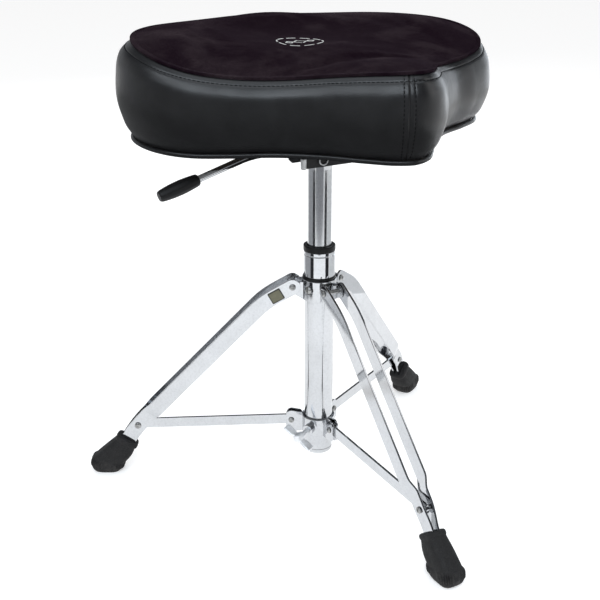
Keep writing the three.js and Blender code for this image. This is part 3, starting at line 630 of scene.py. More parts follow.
def revolve(profile, segments=96):
    """A solid of revolution about Z from (radius, height) points: from axis to axis, or a ring."""
    points = []
    rings = []
    for radius, height in profile:
        if radius < 1e-6:
            rings.append([len(points)])
            points.append((0, 0, height))
            continue
        rings.append(range(len(points), len(points) + segments))
        points += [(radius * math.cos(a), radius * math.sin(a), height) for a in turns(segments)]
    pairs = list(zip(rings, rings[1:]))
    if len(rings[0]) > 1:
        pairs.append((rings[-1], rings[0]))
    faces = []
    for low, high in pairs:
        for i in range(segments):
            j = (i + 1) % segments
            corners = [low[i % len(low)], low[j % len(low)], high[j % len(high)], high[i % len(high)]]
            faces.append(tuple(dict.fromkeys(corners)))
    return solid(points, faces)


def ring(inner, outer, low, high, edge=0.4, segments=96):
    return revolve(rounded(rectangle(inner, low, outer, high), edge), segments)


def plate(outline, near, far, edge=0.35):
    """A flat plate whose outline is drawn in (x, z), reaching from y = near to y = far."""
    count = len(outline)
    points = [(x, y, z) for y in (near, far) for x, z in outline]
    faces = [tuple(range(count)), tuple(range(count, 2 * count))]
    faces += [(i, (i + 1) % count, count + (i + 1) % count, count + i) for i in range(count)]
    return soften(solid(points, faces), edge)


def box(low, high, edge=0.3):
    return plate(rectangle(low[0], low[2], high[0], high[2]), low[1], high[1], edge)


def skin(rings, looped=False):
    """Points and faces through rings of equally many points, capped at both ends unless looped."""
    count = len(rings[0])
    points = [point for one in rings for point in one]
    faces = []
    for i in range(len(rings) if looped else len(rings) - 1):
        here, there = i * count, (i + 1) % len(rings) * count
        for j in range(count):
            after = (j + 1) % count
            faces.append((here + j, here + after, there + after, there + j))
    if not looped:
        faces += [tuple(range(count)), tuple(range(len(points) - count, len(points)))]
    return points, faces


def loft(rings, looped=False):
    return solid(*skin(rings, looped))


def gathered(skins):
    """One object from the points and faces of many skins."""
    points = []
    faces = []
    for more, more_faces in skins:
        faces += [tuple(index + len(points) for index in face) for face in more_faces]
        points += more
    return solid(points, faces)


def circle_round(centre, along, radius, sides, start=Vector((0, 0, 1))):
    """A ring of points round a path, its first point kept towards start."""
    side = along.cross(start).normalized()
    up = side.cross(along).normalized()
    return [centre + (up * math.cos(a) + side * math.sin(a)) * radius for a in turns(sides)]


def sweep(path, radii, sides=20, looped=False):
    """A round bar along a path, with one radius for each of its points."""
    rings = []
    for i, centre in enumerate(path):
        before = path[i - 1] if looped or i else path[0]
        after = path[(i + 1) % len(path)] if looped or i + 1 < len(path) else path[-1]
        rings.append(circle_round(centre, (after - before).normalized(), radii[i], sides))
    return loft(rings, looped)


def bar(start, end, radius, sides=32):
    """A straight round bar with eased ends."""
    axis = Vector(end) - Vector(start)
    outline = [(0, 0), (radius, 0), (radius, axis.length), (0, axis.length)]
    stick = revolve(rounded(outline, 0.3, closed=False), sides)
    turn = Vector((0, 0, 1)).rotation_difference(axis).to_matrix().to_4x4()
    return moved(stick, Matrix.Translation(start) @ turn)


def cross_pin(place, near, far, radius, sides=32):
    return bar((place[0], near, place[1]), (place[0], far, place[1]), radius, sides)


def spoke(near, far, height, radius, azimuth=0):
    """A bar that points away from the column."""
    return turned(bar((near, 0, height), (far, 0, height), radius), azimuth)


def domed_head(radius, height, dimple=0.0):
    """A head on the XY plane, domed towards +Z, with a dimple of that depth where it was closed."""
    dome = [(radius, height * 0.25)] + [
        (radius * math.cos(a), height * (0.25 + 0.75 * math.sin(a)))
        for a in (math.radians(angle) for angle in range(15, 60, 15))
    ]
    crown = [(radius * 0.5, height * 0.98), (radius * 0.44, height), (radius * 0.38, height - dimple),
             (0, height - dimple)]
    return revolve([(0, 0), (radius - 0.2, 0), *dome, *crown], 48)


def rivet(place, face, radius, height, shank, inner):
    """A head on the +Y side of a joint at (x, z) with a shank back to y = inner."""
    head = moved(domed_head(radius, height, 0.9), pose(place[0], face, place[1], -math.pi / 2, "X"))
    return join(head, cross_pin(place, inner, face + height * 0.4, shank))


def add_remesh(obj, size):
    remesh = obj.modifiers.new("remesh", "REMESH")
    remesh.mode = "VOXEL"
    remesh.voxel_size = size


def mirrored(obj):
    """A copy mirrored in the XZ plane."""
    copy = obj.copy()
    copy.data = obj.data.copy()
    bpy.context.scene.collection.objects.link(copy)
    copy.data.transform(Matrix.Scale(-1, 4, (0, 1, 0)))
    copy.data.flip_normals()
    return copy


def smooth_curve(points, per_span, closed=False):
    """Points along a centripetal Catmull-Rom curve through the given ones."""
    points = [Vector(point) for point in points]
    count = len(points)
    result = []
    for i in range(count if closed else count - 1):
        p1, p2 = points[i], points[(i + 1) % count]
        p0 = points[i - 1] if closed or i else p1 * 2 - p2
        p3 = points[(i + 2) % count] if closed or i + 2 < count else p2 * 2 - p1
        t1 = (p1 - p0).length ** 0.5
        t2 = t1 + (p2 - p1).length ** 0.5
        t3 = t2 + (p3 - p2).length ** 0.5
        for step in range(per_span):
            t = t1 + (t2 - t1) * step / per_span
            a1 = p0.lerp(p1, t / t1)
            a2 = p1.lerp(p2, (t - t1) / (t2 - t1))
            a3 = p2.lerp(p3, (t - t2) / (t3 - t2))
            b1 = a1.lerp(a2, t / t2)
            b2 = a2.lerp(a3, (t - t1) / (t3 - t1))
            result.append(b1.lerp(b2, (t - t1) / (t2 - t1)))
    if not closed:
        result.append(points[-1])
    return result


def lengths_along(points, closed=False):
    """The distance along a line of points at each of them, and at the end of a closed one."""
    total = [0.0]
    for before, after in zip(points, points[1:] + points[:1] if closed else points[1:]):
        total.append(total[-1] + (after - before).length)
    return total


def sample_line(points, distances, closed=False, total=None):
    """Points at the given distances along a line, whose own lengths are used unless total gives others."""
    total = total or lengths_along(points, closed)
    result = []
    span = 0
    for distance in distances:
        while span < len(total) - 2 and total[span + 1] < distance:
            span += 1
        share = (distance - total[span]) / max(total[span + 1] - total[span], 1e-9)
        result.append(points[span].lerp(points[(span + 1) % len(points)], share))
    return result


# ---------------------------------------------------------------- pieces


def add_piece(name, obj, look, body, nodes=(), flat_sides=True, sharp_angle=38):
    """Finishes a shape: into the frame, shaded, on its body and in place of its CAD nodes."""
    obj.data.transform(TO_FRAME)
    obj.name = name
    obj.data.name = name
    obj.data.materials.clear()
    obj.data.materials.append(look)
    shade(obj, sharp_angle)
    if flat_sides:
        obj.modifiers.new("even_shading", "WEIGHTED_NORMAL").keep_sharp = True
    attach(obj, body)
    if nodes:
        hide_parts(*nodes)
    return obj


def shade(obj, sharp_angle):
    edit = bmesh.new()
    edit.from_mesh(obj.data)
    for face in edit.faces:
        face.smooth = True
    for edge in edit.edges:
        edge.smooth = len(edge.link_faces) != 2 or edge.calc_face_angle(0) < math.radians(sharp_angle)
    edit.to_mesh(obj.data)
    edit.free()


def dress_cad(look, *nodes, edge=0.0):
    """Gives CAD nodes that stay on show their material, and eases their edges."""
    for name in nodes:
        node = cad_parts[name]
        node.data.materials.clear()
        node.data.materials.append(look)
        if edge:
            bevel = node.modifiers.new("eased_edges", "BEVEL")
            bevel.width = edge * MM
            bevel.segments = 2
            bevel.limit_method = "ANGLE"
            bevel.angle_limit = math.radians(40)
            bevel.harden_normals = True


def build_column():
    tube = ring(15.5, TUBE_RADIUS, TUBE_LOW, TUBE_TOP)
    cap = revolve([(0, CAP_LOW), *arc((TUBE_RADIUS - 5, CAP_LOW + 5), 5, -90, 0, 10),
                   (TUBE_RADIUS, TUBE_LOW - 0.3), (15.2, TUBE_LOW - 0.3), (15.2, 55.6), (14.6, 56), (0, 56)])
    groove = SLEEVE_TOP - 4.2
    sleeve = revolve(rounded([
        (OVER_TUBE, SLEEVE_LOW), (SLEEVE_RADIUS, SLEEVE_LOW), (SLEEVE_RADIUS, groove - 0.6), (17.8, groove),
        (SLEEVE_RADIUS, groove + 0.6), (SLEEVE_RADIUS, SLEEVE_TOP), (OVER_TUBE, SLEEVE_TOP),
    ], 0.3))
    black_ring = ring(OVER_TUBE, 19.4, RING_LOW, RING_TOP, 0.8)
    flange = SLEEVE_TOP + 0.3
    bushing = revolve(rounded([
        (14.3, 250), (15.2, 250), (15.2, flange), (18.6, flange), (18.6, BUSHING_TOP), (14.3, BUSHING_TOP),
    ], 1.1))
    for name, shape, look, slot, node in (
            ("lower_tube", tube, CHROME, "chrome", "column_tube"),
            ("tube_foot", cap, CHROME, "chrome", "tube_end_cap"),
            ("tube_sleeve", sleeve, CHROME, "chrome", "column_sleeve"),
            ("black_ring", black_ring, PLASTIC, "black_plastic", "sleeve_ring"),
            ("bushing", bushing, PLASTIC, "black_plastic", "post_bushing")):
        add_piece(name, shape, look, "base", [node])
    post = revolve(rounded([
        (POST_BORE, POST_LOW), (POST_RADIUS, POST_LOW), (POST_RADIUS, 386), (13.7, POST_TOP - 0.8),
        (13, POST_TOP), (3.4, POST_TOP), (3.4, 382), (0, 382), (0, POST_FLOOR),
    ], 0.4, closed=False) + [Vector((POST_BORE, POST_FLOOR)), Vector((POST_BORE, POST_LOW))])
    add_piece("gas_spring_post", post, POST_CHROME, "seat", ["gas_post"])


def ears_and_holes(outline, ear, pin, reach):
    """Two ears for each leg, and the holes for their pins."""
    ears = []
    holes = []
    for azimuth in LEG_AZIMUTHS.values():
        for near, far in (ear, (-ear[1], -ear[0])):
            ears.append(turned(plate(outline, near, far), azimuth))
        holes.append(turned(cross_pin(pin, -reach, reach, PIN_HOLE), azimuth))
    return ears, holes


def build_upper_hub():
    pivot_x = LEG_PIVOT[0]
    outline = [(TUBE_RADIUS + 1.5, HUB_LOW + 1), (pivot_x, 238.5), *arc((pivot_x, 245.5), 7, -80, 90, 16),
               (TUBE_RADIUS + 1.5, 252.5)]
    ears, holes = ears_and_holes(outline, HUB_EAR, LEG_PIVOT, 12)
    holes += [spoke(HUB_RADIUS - 2.2, HUB_RADIUS + 3, SCREW_Z, 5.9, azimuth) for azimuth in SCREW_AZIMUTHS]
    hub = join(ring(OVER_TUBE, HUB_RADIUS, HUB_LOW, HUB_TOP, 0.9), *ears)
    hub = cut(hub, bar((0, 0, HUB_LOW - 5), (0, 0, HUB_TOP + 5), OVER_TUBE, 96), *holes)
    add_piece("leg_hub", hub, CHROME, "base", ["upper_hub"])
    for i, azimuth in enumerate(SCREW_AZIMUTHS):
        head = moved(domed_head(4.6, 2.9), pose(20.7, 0, SCREW_Z, math.pi / 2))
        screw = join(head, spoke(17.4, 21.5, SCREW_Z, 2))
        screw = cut(screw, box((21.6, -0.8, SCREW_Z - 7), (26, 0.8, SCREW_Z + 7), 0.1))
        turned(screw, azimuth)
        add_piece(f"slotted_screw_{i + 1}", screw, STEEL, "base", [f"hub_screw_{i + 1}"])


def build_lower_hub():
    low, high = 55, 83
    reach, corner = 39.5, 7
    outline = [(TUBE_RADIUS + 1.5, low + 1.2), *arc((reach - corner, low + corner), corner, -90, 0, 8),
               *arc((reach - corner, high - corner), corner, 0, 90, 8),
               (TUBE_RADIUS + 4, high - 2), (TUBE_RADIUS + 1.5, COLLAR_TOP)]
    ears, holes = ears_and_holes(outline, COLLAR_EAR, COLLAR_PIN, 8)
    boss = spoke(18.5, 27, WING_Z, 6.5, WING_AZIMUTH)
    thread = spoke(15, 30, WING_Z, 3.3, WING_AZIMUTH)
    collar = join(ring(OVER_TUBE, COLLAR_RADIUS, COLLAR_LOW, COLLAR_TOP, 0.9), *ears, boss)
    collar = cut(collar, bar((0, 0, 45), (0, 0, 95), OVER_TUBE, 96), thread, *holes)
    add_piece("brace_collar", collar, CHROME, "collar", ["lower_hub"])


def build_wing_bolt():
    shank = spoke(17.7, 45, WING_Z, 3)
    hub = revolve(rounded([(0, 40), (5, 40), (5.4, 47), (4.6, 53), (0, 53)], 1.2, closed=False), 48)
    moved(hub, pose(0, 0, WING_Z, math.pi / 2))
    wings = []
    for side in (-1, 1):
        rings = []
        for out, half, thick in ((2, 4, 2.6), (5, 4.2, 2.1), (8, 4.9, 1.8), (11, 5.9, 1.7), (15, 6, 1.6),
                                 (19, 5.9, 1.6), (20.4, 5, 1.4)):
            section = rounded([(half, thick), (-half, thick), (-half, -thick), (half, -thick)], 1.2)
            rings.append([Vector((48 + place.x, side * out, WING_Z + place.y)) for place in section])
        wings.append(loft(rings))
    bolt = join(hub, *wings)
    add_remesh(bolt, 0.45)
    relax = bolt.modifiers.new("cast_smooth", "SMOOTH")
    relax.factor = 0.6
    relax.iterations = 8
    bake_modifiers(bolt)
    tilt = pose(0, 0, WING_Z, math.radians(WING_TILT), "X")
    moved(bolt, tilt @ Matrix.Translation((0, 0, -WING_Z)))
    bolt = turned(join(shank, bolt), WING_AZIMUTH)
    add_piece("wing_screw", bolt, CAST_CHROME, "wing_bolt", ["wing_bolt"], flat_sides=False)


# ---------------------------------------------------------------- legs


def leg_line():
    """The leg's side view: place, inner face's distance from the middle plane, distance along the leg."""
    slope = math.radians(LOWER_LEG_SLOPE)
    rivet_place = Vector(BRACE_RIVET)
    foot = rivet_place + Vector((math.cos(slope), -math.sin(slope))) * LOWER_LEG_LENGTH
    top = Vector(LEG_PIVOT) - (Vector(LEG_KNEE) - Vector(LEG_PIVOT)).normalized() * STRIP_HALF_WIDTH
    line = [top, *rounded([LEG_PIVOT, LEG_KNEE, BRACE_RIVET, foot], 16, closed=False, steps=8)]
    distances = lengths_along(line)
    rivet_at = (Vector(LEG_PIVOT) - top).length + (Vector(LEG_KNEE) - Vector(LEG_PIVOT)).length
    rivet_at += (rivet_place - Vector(LEG_KNEE)).length
    count = int(distances[-1] / 3)
    steps = [distances[-1] * i / count for i in range(count + 1)]
    places = sample_line(line, steps)
    return [(place, strip_inner(step - rivet_at), step) for place, step in zip(places, steps)]


def strip_inner(past_rivet):
    """How far the strip's inner face stands from the middle plane, from the distance past the rivet."""
    wide, at_rivet, at_foot = 10, 4.5, 2.2
    joggle = smooth_step((past_rivet + 35) / 18)
    closing = smooth_step((past_rivet + 6) / 31)
    return wide + (at_rivet + 0.3 - wide) * joggle + (at_foot - at_rivet - 0.3) * closing


def smooth_step(share):
    share = min(max(share, 0), 1)
    return share * share * (3 - 2 * share)


def leg_strip():
    stations = leg_line()
    corner = 0.4
    rings = []
    for i, (place, inner, distance) in enumerate(stations):
        before = stations[max(i - 1, 0)][0]
        after = stations[min(i + 1, len(stations) - 1)][0]
        ahead = (after - before).normalized()
        up = Vector((-ahead.y, ahead.x))
        from_end = min(distance, STRIP_HALF_WIDTH)
        half = max((STRIP_HALF_WIDTH ** 2 - (STRIP_HALF_WIDTH - from_end) ** 2) ** 0.5, 1.5)
        outer = inner + STRIP_THICKNESS
        section = rounded([(half, inner), (half, outer), (-half, outer), (-half, inner)], corner, steps=3)
        rings.append([Vector((place.x + up.x * s.x, s.y, place.y + up.y * s.x)) for s in section])
    holes = [cross_pin(place, -20, 20, PIN_HOLE) for place in (LEG_PIVOT, BRACE_RIVET)]
    return cut(loft(rings), *holes)


def brace_bar():
    inner, outer = Vector(COLLAR_PIN), Vector(BRACE_RIVET)
    slope = math.degrees(math.atan2(outer.y - inner.y, outer.x - inner.x))
    outline = [*arc(outer, BRACE_HALF_WIDTH, slope - 90, slope + 90, 20),
               *arc(inner, BRACE_HALF_WIDTH, slope + 90, slope + 270, 20)]
    bar_plate = plate(outline, -BRACE_HALF_THICKNESS, BRACE_HALF_THICKNESS, 0.25)
    return cut(bar_plate, cross_pin(COLLAR_PIN, -5, 5, PIN_HOLE))


def squared(value):
    """A cosine or sine bent towards a square's outline; the boots have rounded square sections."""
    return math.copysign(abs(value) ** BOOT_SQUARENESS, value)


def rubber_boot():
    """Tilted with the leg at its beaded mouth, knobbed round its flat sole, with a slot for each strip."""
    rings = []
    for radius, height, tilt, reach, half_width in smooth_curve(BOOT_SECTIONS, 3):
        lean = math.radians(tilt)
        knobbed = smooth_step((16 - height) / 2) * smooth_step((height - 5) / 2)
        ring_points = []
        for angle in turns(180):
            knob = 0.7 * knobbed * math.cos(BOOT_KNOBS * angle)
            forward = (reach + knob) * squared(math.cos(angle))
            aside = (half_width + knob) * squared(math.sin(angle))
            ring_points.append(Vector((radius + forward * math.cos(lean), aside,
                                       max(height + forward * math.sin(lean), 0))))
        rings.append(ring_points)
    near, far = STRIP_AT_FOOT
    slope = math.radians(LOWER_LEG_SLOPE)
    depth = LOWER_LEG_LENGTH + 0.7
    end = Vector(BRACE_RIVET) + Vector((math.cos(slope), -math.sin(slope))) * depth
    turn = pose(end.x, 0, end.y, slope)
    slots = [moved(box((-60, low, -9.8), (0, high, 9.8), 0.4), turn)
             for low, high in ((near - 0.3, far + 0.3), (-far - 0.3, 0.3 - near))]
    return cut(loft(rings), *slots)


def blank_label():
    """A plain label with a dark border on the outer face of a strip."""
    pivot, knee = Vector(LEG_PIVOT), Vector(LEG_KNEE)
    middle = pivot + (knee - pivot).normalized() * 22
    near = 10 + STRIP_THICKNESS + 0.3
    slope = math.atan2(pivot.y - knee.y, knee.x - pivot.x)
    panel = plate(rounded(rectangle(-8, -7, 8, 7), 1.2), near, near + 0.45, 0.1)
    field = plate(rounded(rectangle(-6.9, -5.9, 6.9, 5.9), 0.8), near + 0.5, near + 0.7, 0.05)
    turn = pose(middle.x, 0, middle.y, slope)
    return moved(panel, turn), moved(field, turn)


def build_leg(name, azimuth):
    body = f"{name}_leg"
    for piece, node, half, look, slot in (
            ("strip", "leg_strip", leg_strip(), CHROME, "chrome"),
            ("rivet", "brace_rivet", rivet(BRACE_RIVET, 7.8, 3.9, 1.6, 2.4, 2), STEEL, "steel")):
        for end, shape in (("a", half), ("b", mirrored(half))):
            add_piece(f"{name}_{piece}_{end}", turned(shape, azimuth), look, body,
                      [f"{name}_{node}_{end}"])
    boot = turned(rubber_boot(), azimuth)
    add_piece(f"{name}_rubber_boot", boot, RUBBER, body, [f"{name}_boot"])
    for piece, node, head, holder in (("leg_pin", "pivot_pin", (LEG_PIVOT, 12.8, 3.8, 1.6), "base"),
                                      ("brace_pin", "collar_pin", (COLLAR_PIN, 4.7, 3.6, 1.7), "collar")):
        half = rivet(*head, 2.5, -0.5)
        pin = turned(join(half, mirrored(half)), azimuth)
        add_piece(f"{name}_{piece}", pin, STEEL, holder, [f"{name}_{node}"])
    link = turned(brace_bar(), azimuth)
    add_piece(f"{name}_brace_bar", link, CHROME, f"{name}_brace", [f"{name}_brace"])


def build_legs():
    for name, azimuth in LEG_AZIMUTHS.items():
        build_leg(name, azimuth)
    panel, field = blank_label()
    azimuth = LEG_AZIMUTHS["right"]
    add_piece("label_border", turned(panel, azimuth), LABEL_DARK, "right_leg", ["leg_label"])
    add_piece("label_field", turned(field, azimuth), LABEL, "right_leg", ["leg_label"])


# ---------------------------------------------------------------- lever


def lever_point(distance):
    slope = math.radians(LEVER_SLOPE)
    return LEVER_BEND + Vector((-math.cos(slope), 0, -math.sin(slope))) * distance


def build_lever():
    pin_x, pin_z = LEVER_PIN
    start = Vector((pin_x - 4, -5, pin_z + 1.5))
    middle = Vector((-68, LEVER_Y, 418.6))
    curve = [start * (1 - t) ** 2 + middle * 2 * t * (1 - t) + LEVER_BEND * t * t
             for t in (i / 24 for i in range(25))]
    path = [curve[0], *rounded([*curve[1:], lever_point(GRIP_START + ROD_IN_GRIP)], 9, closed=False, steps=2)]
    rod = sweep(path, [3.9] * len(path), 28)
    tongue = [(7, 396.4), (7, 400.4), (pin_x + 2, pin_z + 4.6), *arc(LEVER_PIN, 4.4, 80, 270, 16),
              (-4, 396.4)]
    rod = join(rod, plate(tongue, -10, 7, 0.3))
    rod = cut(rod, cross_pin(LEVER_PIN, -20, 20, 2.5))
    add_piece("lever_rod", rod, CHROME, "lever", ["height_lever"])
    outline = smooth_curve([(5.5, 0.5), (6.3, 1.8), (7, 7), (7.6, 14), (7.9, 22), (7.6, 32), (6.8, 40.5),
                            (6, 45), (5, 46.7)], 5)
    bore = 4.3
    bore_end = ROD_IN_GRIP + 1
    grip = revolve([*outline, (0, GRIP_LENGTH), (0, bore_end), (bore, bore_end), (bore, 0.4),
                    (bore + 0.4, 0)])
    for vertex in grip.data.vertices:
        facets = 1 + GRIP_FACET_DEPTH * math.cos(GRIP_FACETS * math.atan2(vertex.co.y, vertex.co.x))
        vertex.co.xy *= facets
    turn = pose(*lever_point(GRIP_START), -math.radians(90 + LEVER_SLOPE))
    add_piece("rubber_grip", moved(grip, turn), PLASTIC, "lever", ["lever_grip"],
              flat_sides=False)


def build_lever_pin():
    """A pin through the channel; its cupped head, on the -Y side, holds a black disc: painted shade in the
    cup's hollow.
    """
    face = CHANNEL_HALF_WIDTH + 0.3
    cup = [(0, 0), (6, 0), (6, 2), (5.6, 2.4), (5, 2.4), (4.6, 2), (4.5, 0.4), (0, 0.4)]
    to_pin = pose(LEVER_PIN[0], -face, LEVER_PIN[1], math.pi / 2, "X")
    head = moved(revolve(cup, 48), to_pin)
    shank = cross_pin(LEVER_PIN, -face - 0.3, face + 0.5, 2.2)
    pin = join(head, shank, cross_pin(LEVER_PIN, face, face + 1.4, 4))
    add_piece("lever_pivot", pin, ZINC, "seat", ["lever_pin"])
    # Painted shade: a black plastic disc sunk in the cup, so that its hollow looks dark.
    cup_shade = moved(revolve([(0, 0.3), (4.4, 0.3), (4.4, 0.9), (3.6, 1.3), (1.6, 1.1), (0, 1)], 48), to_pin)
    add_piece("pin_cup_shade", cup_shade, PLASTIC, "seat")


# ---------------------------------------------------------------- cushion


def saddle_outline():
    """The widest outline as a fine closed line from the nose seam round, seen from above."""
    half = [Vector((sideways, -forward, 0)) for forward, sideways in SADDLE_HALF_OUTLINE]
    other = [Vector((-place.x, place.y, 0)) for place in half[-2:0:-1]]
    line = smooth_curve(half + other, 40, closed=True)
    along = lengths_along(line, closed=True)
    seam = next(i for i, distance in enumerate(along) if distance > along[-1] - SEAM_ASIDE)
    return line[seam:] + line[:seam]


def outline_stations(distances):
    """(place, outward direction, rim height, roundness) at distances along the widest outline."""
    line = saddle_outline()
    stations = []
    ahead = sample_line(line, [distance + 0.5 for distance in distances], closed=True)
    for place, after in zip(sample_line(line, distances, closed=True), ahead):
        tangent = (after - place).normalized()
        azimuth = math.atan2(place.x, SADDLE_CENTRE_Y - place.y)
        rim = sum(wave * math.cos(k * azimuth) for k, wave in enumerate(RIM_WAVES))
        corner = math.exp(-(((math.degrees(abs(azimuth)) - BACK_CORNER) / BACK_CORNER_WIDTH) ** 2))
        stations.append((place, Vector((tangent.y, -tangent.x, 0)), rim - BACK_CORNER_DROP * corner, corner))
    return stations


def cushion_row(stations, inset, scale, up, dish):
    centre = Vector((0, SADDLE_CENTRE_Y, 0))
    row = []
    for place, outward, rim, corner in stations:
        aside = inset + BACK_CORNER_INSET * corner * smooth_step((up - 0.8) / 0.14)
        point = centre + (place - outward * aside - centre) * scale
        point.z = COVER_LOW + up * (rim - COVER_LOW) + dish * (DISH_HEIGHT - rim)
        row.append(point)
    return row


def fine_rows(rows, step, fine_at, from_end=False):
    """Row settings every step millimetres along a typical column, closer together near the places fine_at."""
    settings = smooth_curve(rows, 16)
    along = lengths_along([cushion_row(TYPICAL_STATION, *setting)[0] for setting in settings])
    places = [along[-1] - gap for gap in fine_at] if from_end else fine_at
    distances = spaced(0, along[-1], step, places, 3.0)
    return sample_line(settings, distances, total=along), distances


def spaced(start, end, step, fine_at, fine_reach):
    """Numbers from start to end, FINE_STEP apart within fine_reach of each place in fine_at."""
    result = [start]
    while result[-1] < end:
        here = result[-1]
        near = any(abs(here - place) < fine_reach or 0 < place - fine_reach - here < FINE_STEP
                   for place in fine_at)
        result.append(here + (FINE_STEP if near else step))
    result[-1] = end
    if len(result) > 2 and result[-1] - result[-2] < FINE_STEP * 0.5:
        del result[-2]
    return result


def point_tree(points):
    tree = KDTree(len(points))
    for i, place in enumerate(points):
        tree.insert(place, i)
    tree.balance()
    return tree


def puffed():
    """The whole cushion as a cloth bag, blown up a little: where its points start and how far they move."""
    stations = outline_stations([i * outline_length() / 150 for i in range(150)])
    settings = smooth_curve([*SIDE_ROWS, *TOP_ROWS[1:]], 4)
    bag = loft([cushion_row(stations, *setting) for setting in settings])
    add_remesh(bag, REMESH_SIZE)
    bake_modifiers(bag)
    bag.data.transform(Matrix.Scale(MM, 4))
    start = [vertex.co.copy() for vertex in bag.data.vertices]
    pin_cushion(bag, stations)
    cloth = bag.modifiers.new("cloth", "CLOTH")
    cloth.settings.effector_weights.gravity = 0
    for key, value in CLOTH.items():
        setattr(cloth.settings, key, value)
    scene = bpy.context.scene
    for number in range(1, 21):
        scene.frame_set(number)
    bake_modifiers(bag)
    moves = []
    for before, vertex in zip(start, bag.data.vertices):
        move = (vertex.co - before) / MM
        moves.append(move * min(1, PUFF_LIMIT / max(move.length, 1e-6)))
    scene.frame_set(1)
    bpy.data.objects.remove(bag)
    return point_tree([place / MM for place in start]), moves


def pin_cushion(bag, stations):
    """Holds the bag where it is sewn or stapled: the hem, the velvet's seam and the nose seam."""
    seams = cushion_row(stations, *SIDE_ROWS[-1])
    for setting in smooth_curve(SIDE_ROWS, 4):
        seams += cushion_row(stations[:1], *setting)
    tree = point_tree(seams)
    group = bag.vertex_groups.new(name="held")
    for vertex in bag.data.vertices:
        place = vertex.co / MM
        near = tree.find(place)[2]
        hem = place.z - COVER_LOW
        weight = max(1 - smooth_step((near - 4) / 9), 1 - smooth_step((hem - 2) / 8))
        group.add([vertex.index], weight, "REPLACE")


def puff_at(place, field):
    tree, moves = field
    total = Vector()
    weights = 0
    for _, index, distance in tree.find_n(place, 6):
        weight = 1 / (distance + 0.5) ** 2
        total += moves[index] * weight
        weights += weight
    return total / weights


def outline_length():
    return lengths_along(saddle_outline(), closed=True)[-1]


def cushion_columns():
    """Distances along the outline, close together at the nose seam and its two rows of stitches."""
    length = outline_length()
    side = spaced(0, length / 2, COLUMN_STEP, (0, NOSE_STITCH_ASIDE), 2.4)
    other = [length - distance for distance in side[-2:0:-1]]
    return side + other, [min(distance, length - distance) for distance in side + other]


def groove(distance, width, depth):
    return depth * math.exp(-((distance / width) ** 2))


def build_cushion():
    field = puffed()
    columns, asides = cushion_columns()
    stations = outline_stations(columns)
    side_settings, side_along = fine_rows(SIDE_ROWS, 2.8, (0, TOPSTITCH_BELOW), from_end=True)
    top_settings, top_along = fine_rows(TOP_ROWS, 4.5, (0,))
    side_rows = [cushion_row(stations, *setting) for setting in side_settings]
    top_rows = [cushion_row(stations, *setting) for setting in top_settings]
    if field:
        for row in side_rows + top_rows:
            for place in row:
                place += puff_at(place, field)
        for low, high in zip(side_rows[-1], top_rows[0]):
            high.xyz = low.xyz
    below = [side_along[-1] - distance for distance in side_along]
    sink_side = [[groove(gap, 1.0, 1.1) + groove(gap - TOPSTITCH_BELOW, 0.8, 0.55)
                  + groove(aside, 0.8, 0.9) + groove(aside - NOSE_STITCH_ASIDE, 0.7, 0.35)
                  for aside in asides] for gap in below]
    sink_top = [[groove(gap, 1.4, 0.5) for _ in asides] for gap in top_along]
    side_normals = grid_normals(side_rows)
    top_normals = grid_normals(top_rows)
    sink(side_rows, side_normals, sink_side)
    sink(top_rows, top_normals, sink_top)
    side = loft([*side_rows, *reversed(inside_of(side_rows, side_normals))], looped=True)
    add_piece("vinyl_side", side, VINYL, "seat", ["side_cover"], flat_sides=False, sharp_angle=60)
    top = loft([*reversed(inside_of(top_rows, top_normals)), *top_rows])
    add_piece("velvet_top", top, VELVET, "seat", ["top_cover", "foam_core"], flat_sides=False,
              sharp_angle=60)
    add_stitching(side_rows, side_normals, below, asides)
    add_motif(top)
    return stations


def grid_normals(rows):
    count = len(rows[0])
    normals = []
    for i, row in enumerate(rows):
        up, down = rows[min(i + 1, len(rows) - 1)], rows[max(i - 1, 0)]
        normals.append([
            (row[(j + 1) % count] - row[j - 1]).cross(up[j] - down[j]).normalized() for j in range(count)
        ])
    return normals


def sink(rows, normals, depths):
    for row, row_normals, row_depths in zip(rows, normals, depths):
        for place, normal, depth in zip(row, row_normals, row_depths):
            place -= normal * depth


def inside_of(rows, normals):
    return [[place - normal * COVER_THICKNESS for place, normal in zip(row, row_normals)]
            for row, row_normals in zip(rows, normals)]


def stitches(path, normals, pitch, length, radius, sunk=0.1):
    """Short threads laid along a line on a surface, one skin each."""
    threads = []
    distances = lengths_along(path)
    for number in range(int(distances[-1] / pitch)):
        start = number * pitch
        ends = sample_line(path, [start, start + length])
        normal = normal_at(normals, distances, start)
        along = (ends[1] - ends[0]).normalized()
        side = along.cross(normal).normalized()
        rings = []
        for share, thick in STITCH_PROFILE:
            arch = 0.35 * radius * math.sin(math.pi * share)
            centre = ends[0].lerp(ends[1], share) + normal * (arch - sunk)
            rings.append([centre + (side * math.cos(a) + normal * math.sin(a)) * radius * thick
                          for a in turns(8)])
        threads.append(skin(rings))
    return threads


def normal_at(normals, distances, distance):
    for i in range(1, len(distances)):
        if distances[i] >= distance:
            return normals[i - 1].lerp(normals[min(i, len(normals) - 1)], 0.5).normalized()
    return normals[-1]


def add_stitching(rows, normals, below, asides):
    """The topstitching under the velvet's edge and the two rows beside the nose seam."""
    count = len(rows[0])
    row = min(range(len(below)), key=lambda i: abs(below[i] - TOPSTITCH_BELOW))
    ring_path = rows[row] + rows[row][:1]
    threads = stitches(ring_path, normals[row] + normals[row][:1], 4.5, 3.2, 0.6)
    half = count // 2
    right = min(range(half), key=lambda j: abs(asides[j] - NOSE_STITCH_ASIDE))
    for column in (right, count - right):
        path = [one[column] for one in rows[1:]]
        threads += stitches(path, [one[column] for one in normals[1:]], 4.2, 2.9, 0.5)
    add_piece("black_stitching", gathered(threads), THREAD, "seat", flat_sides=False)


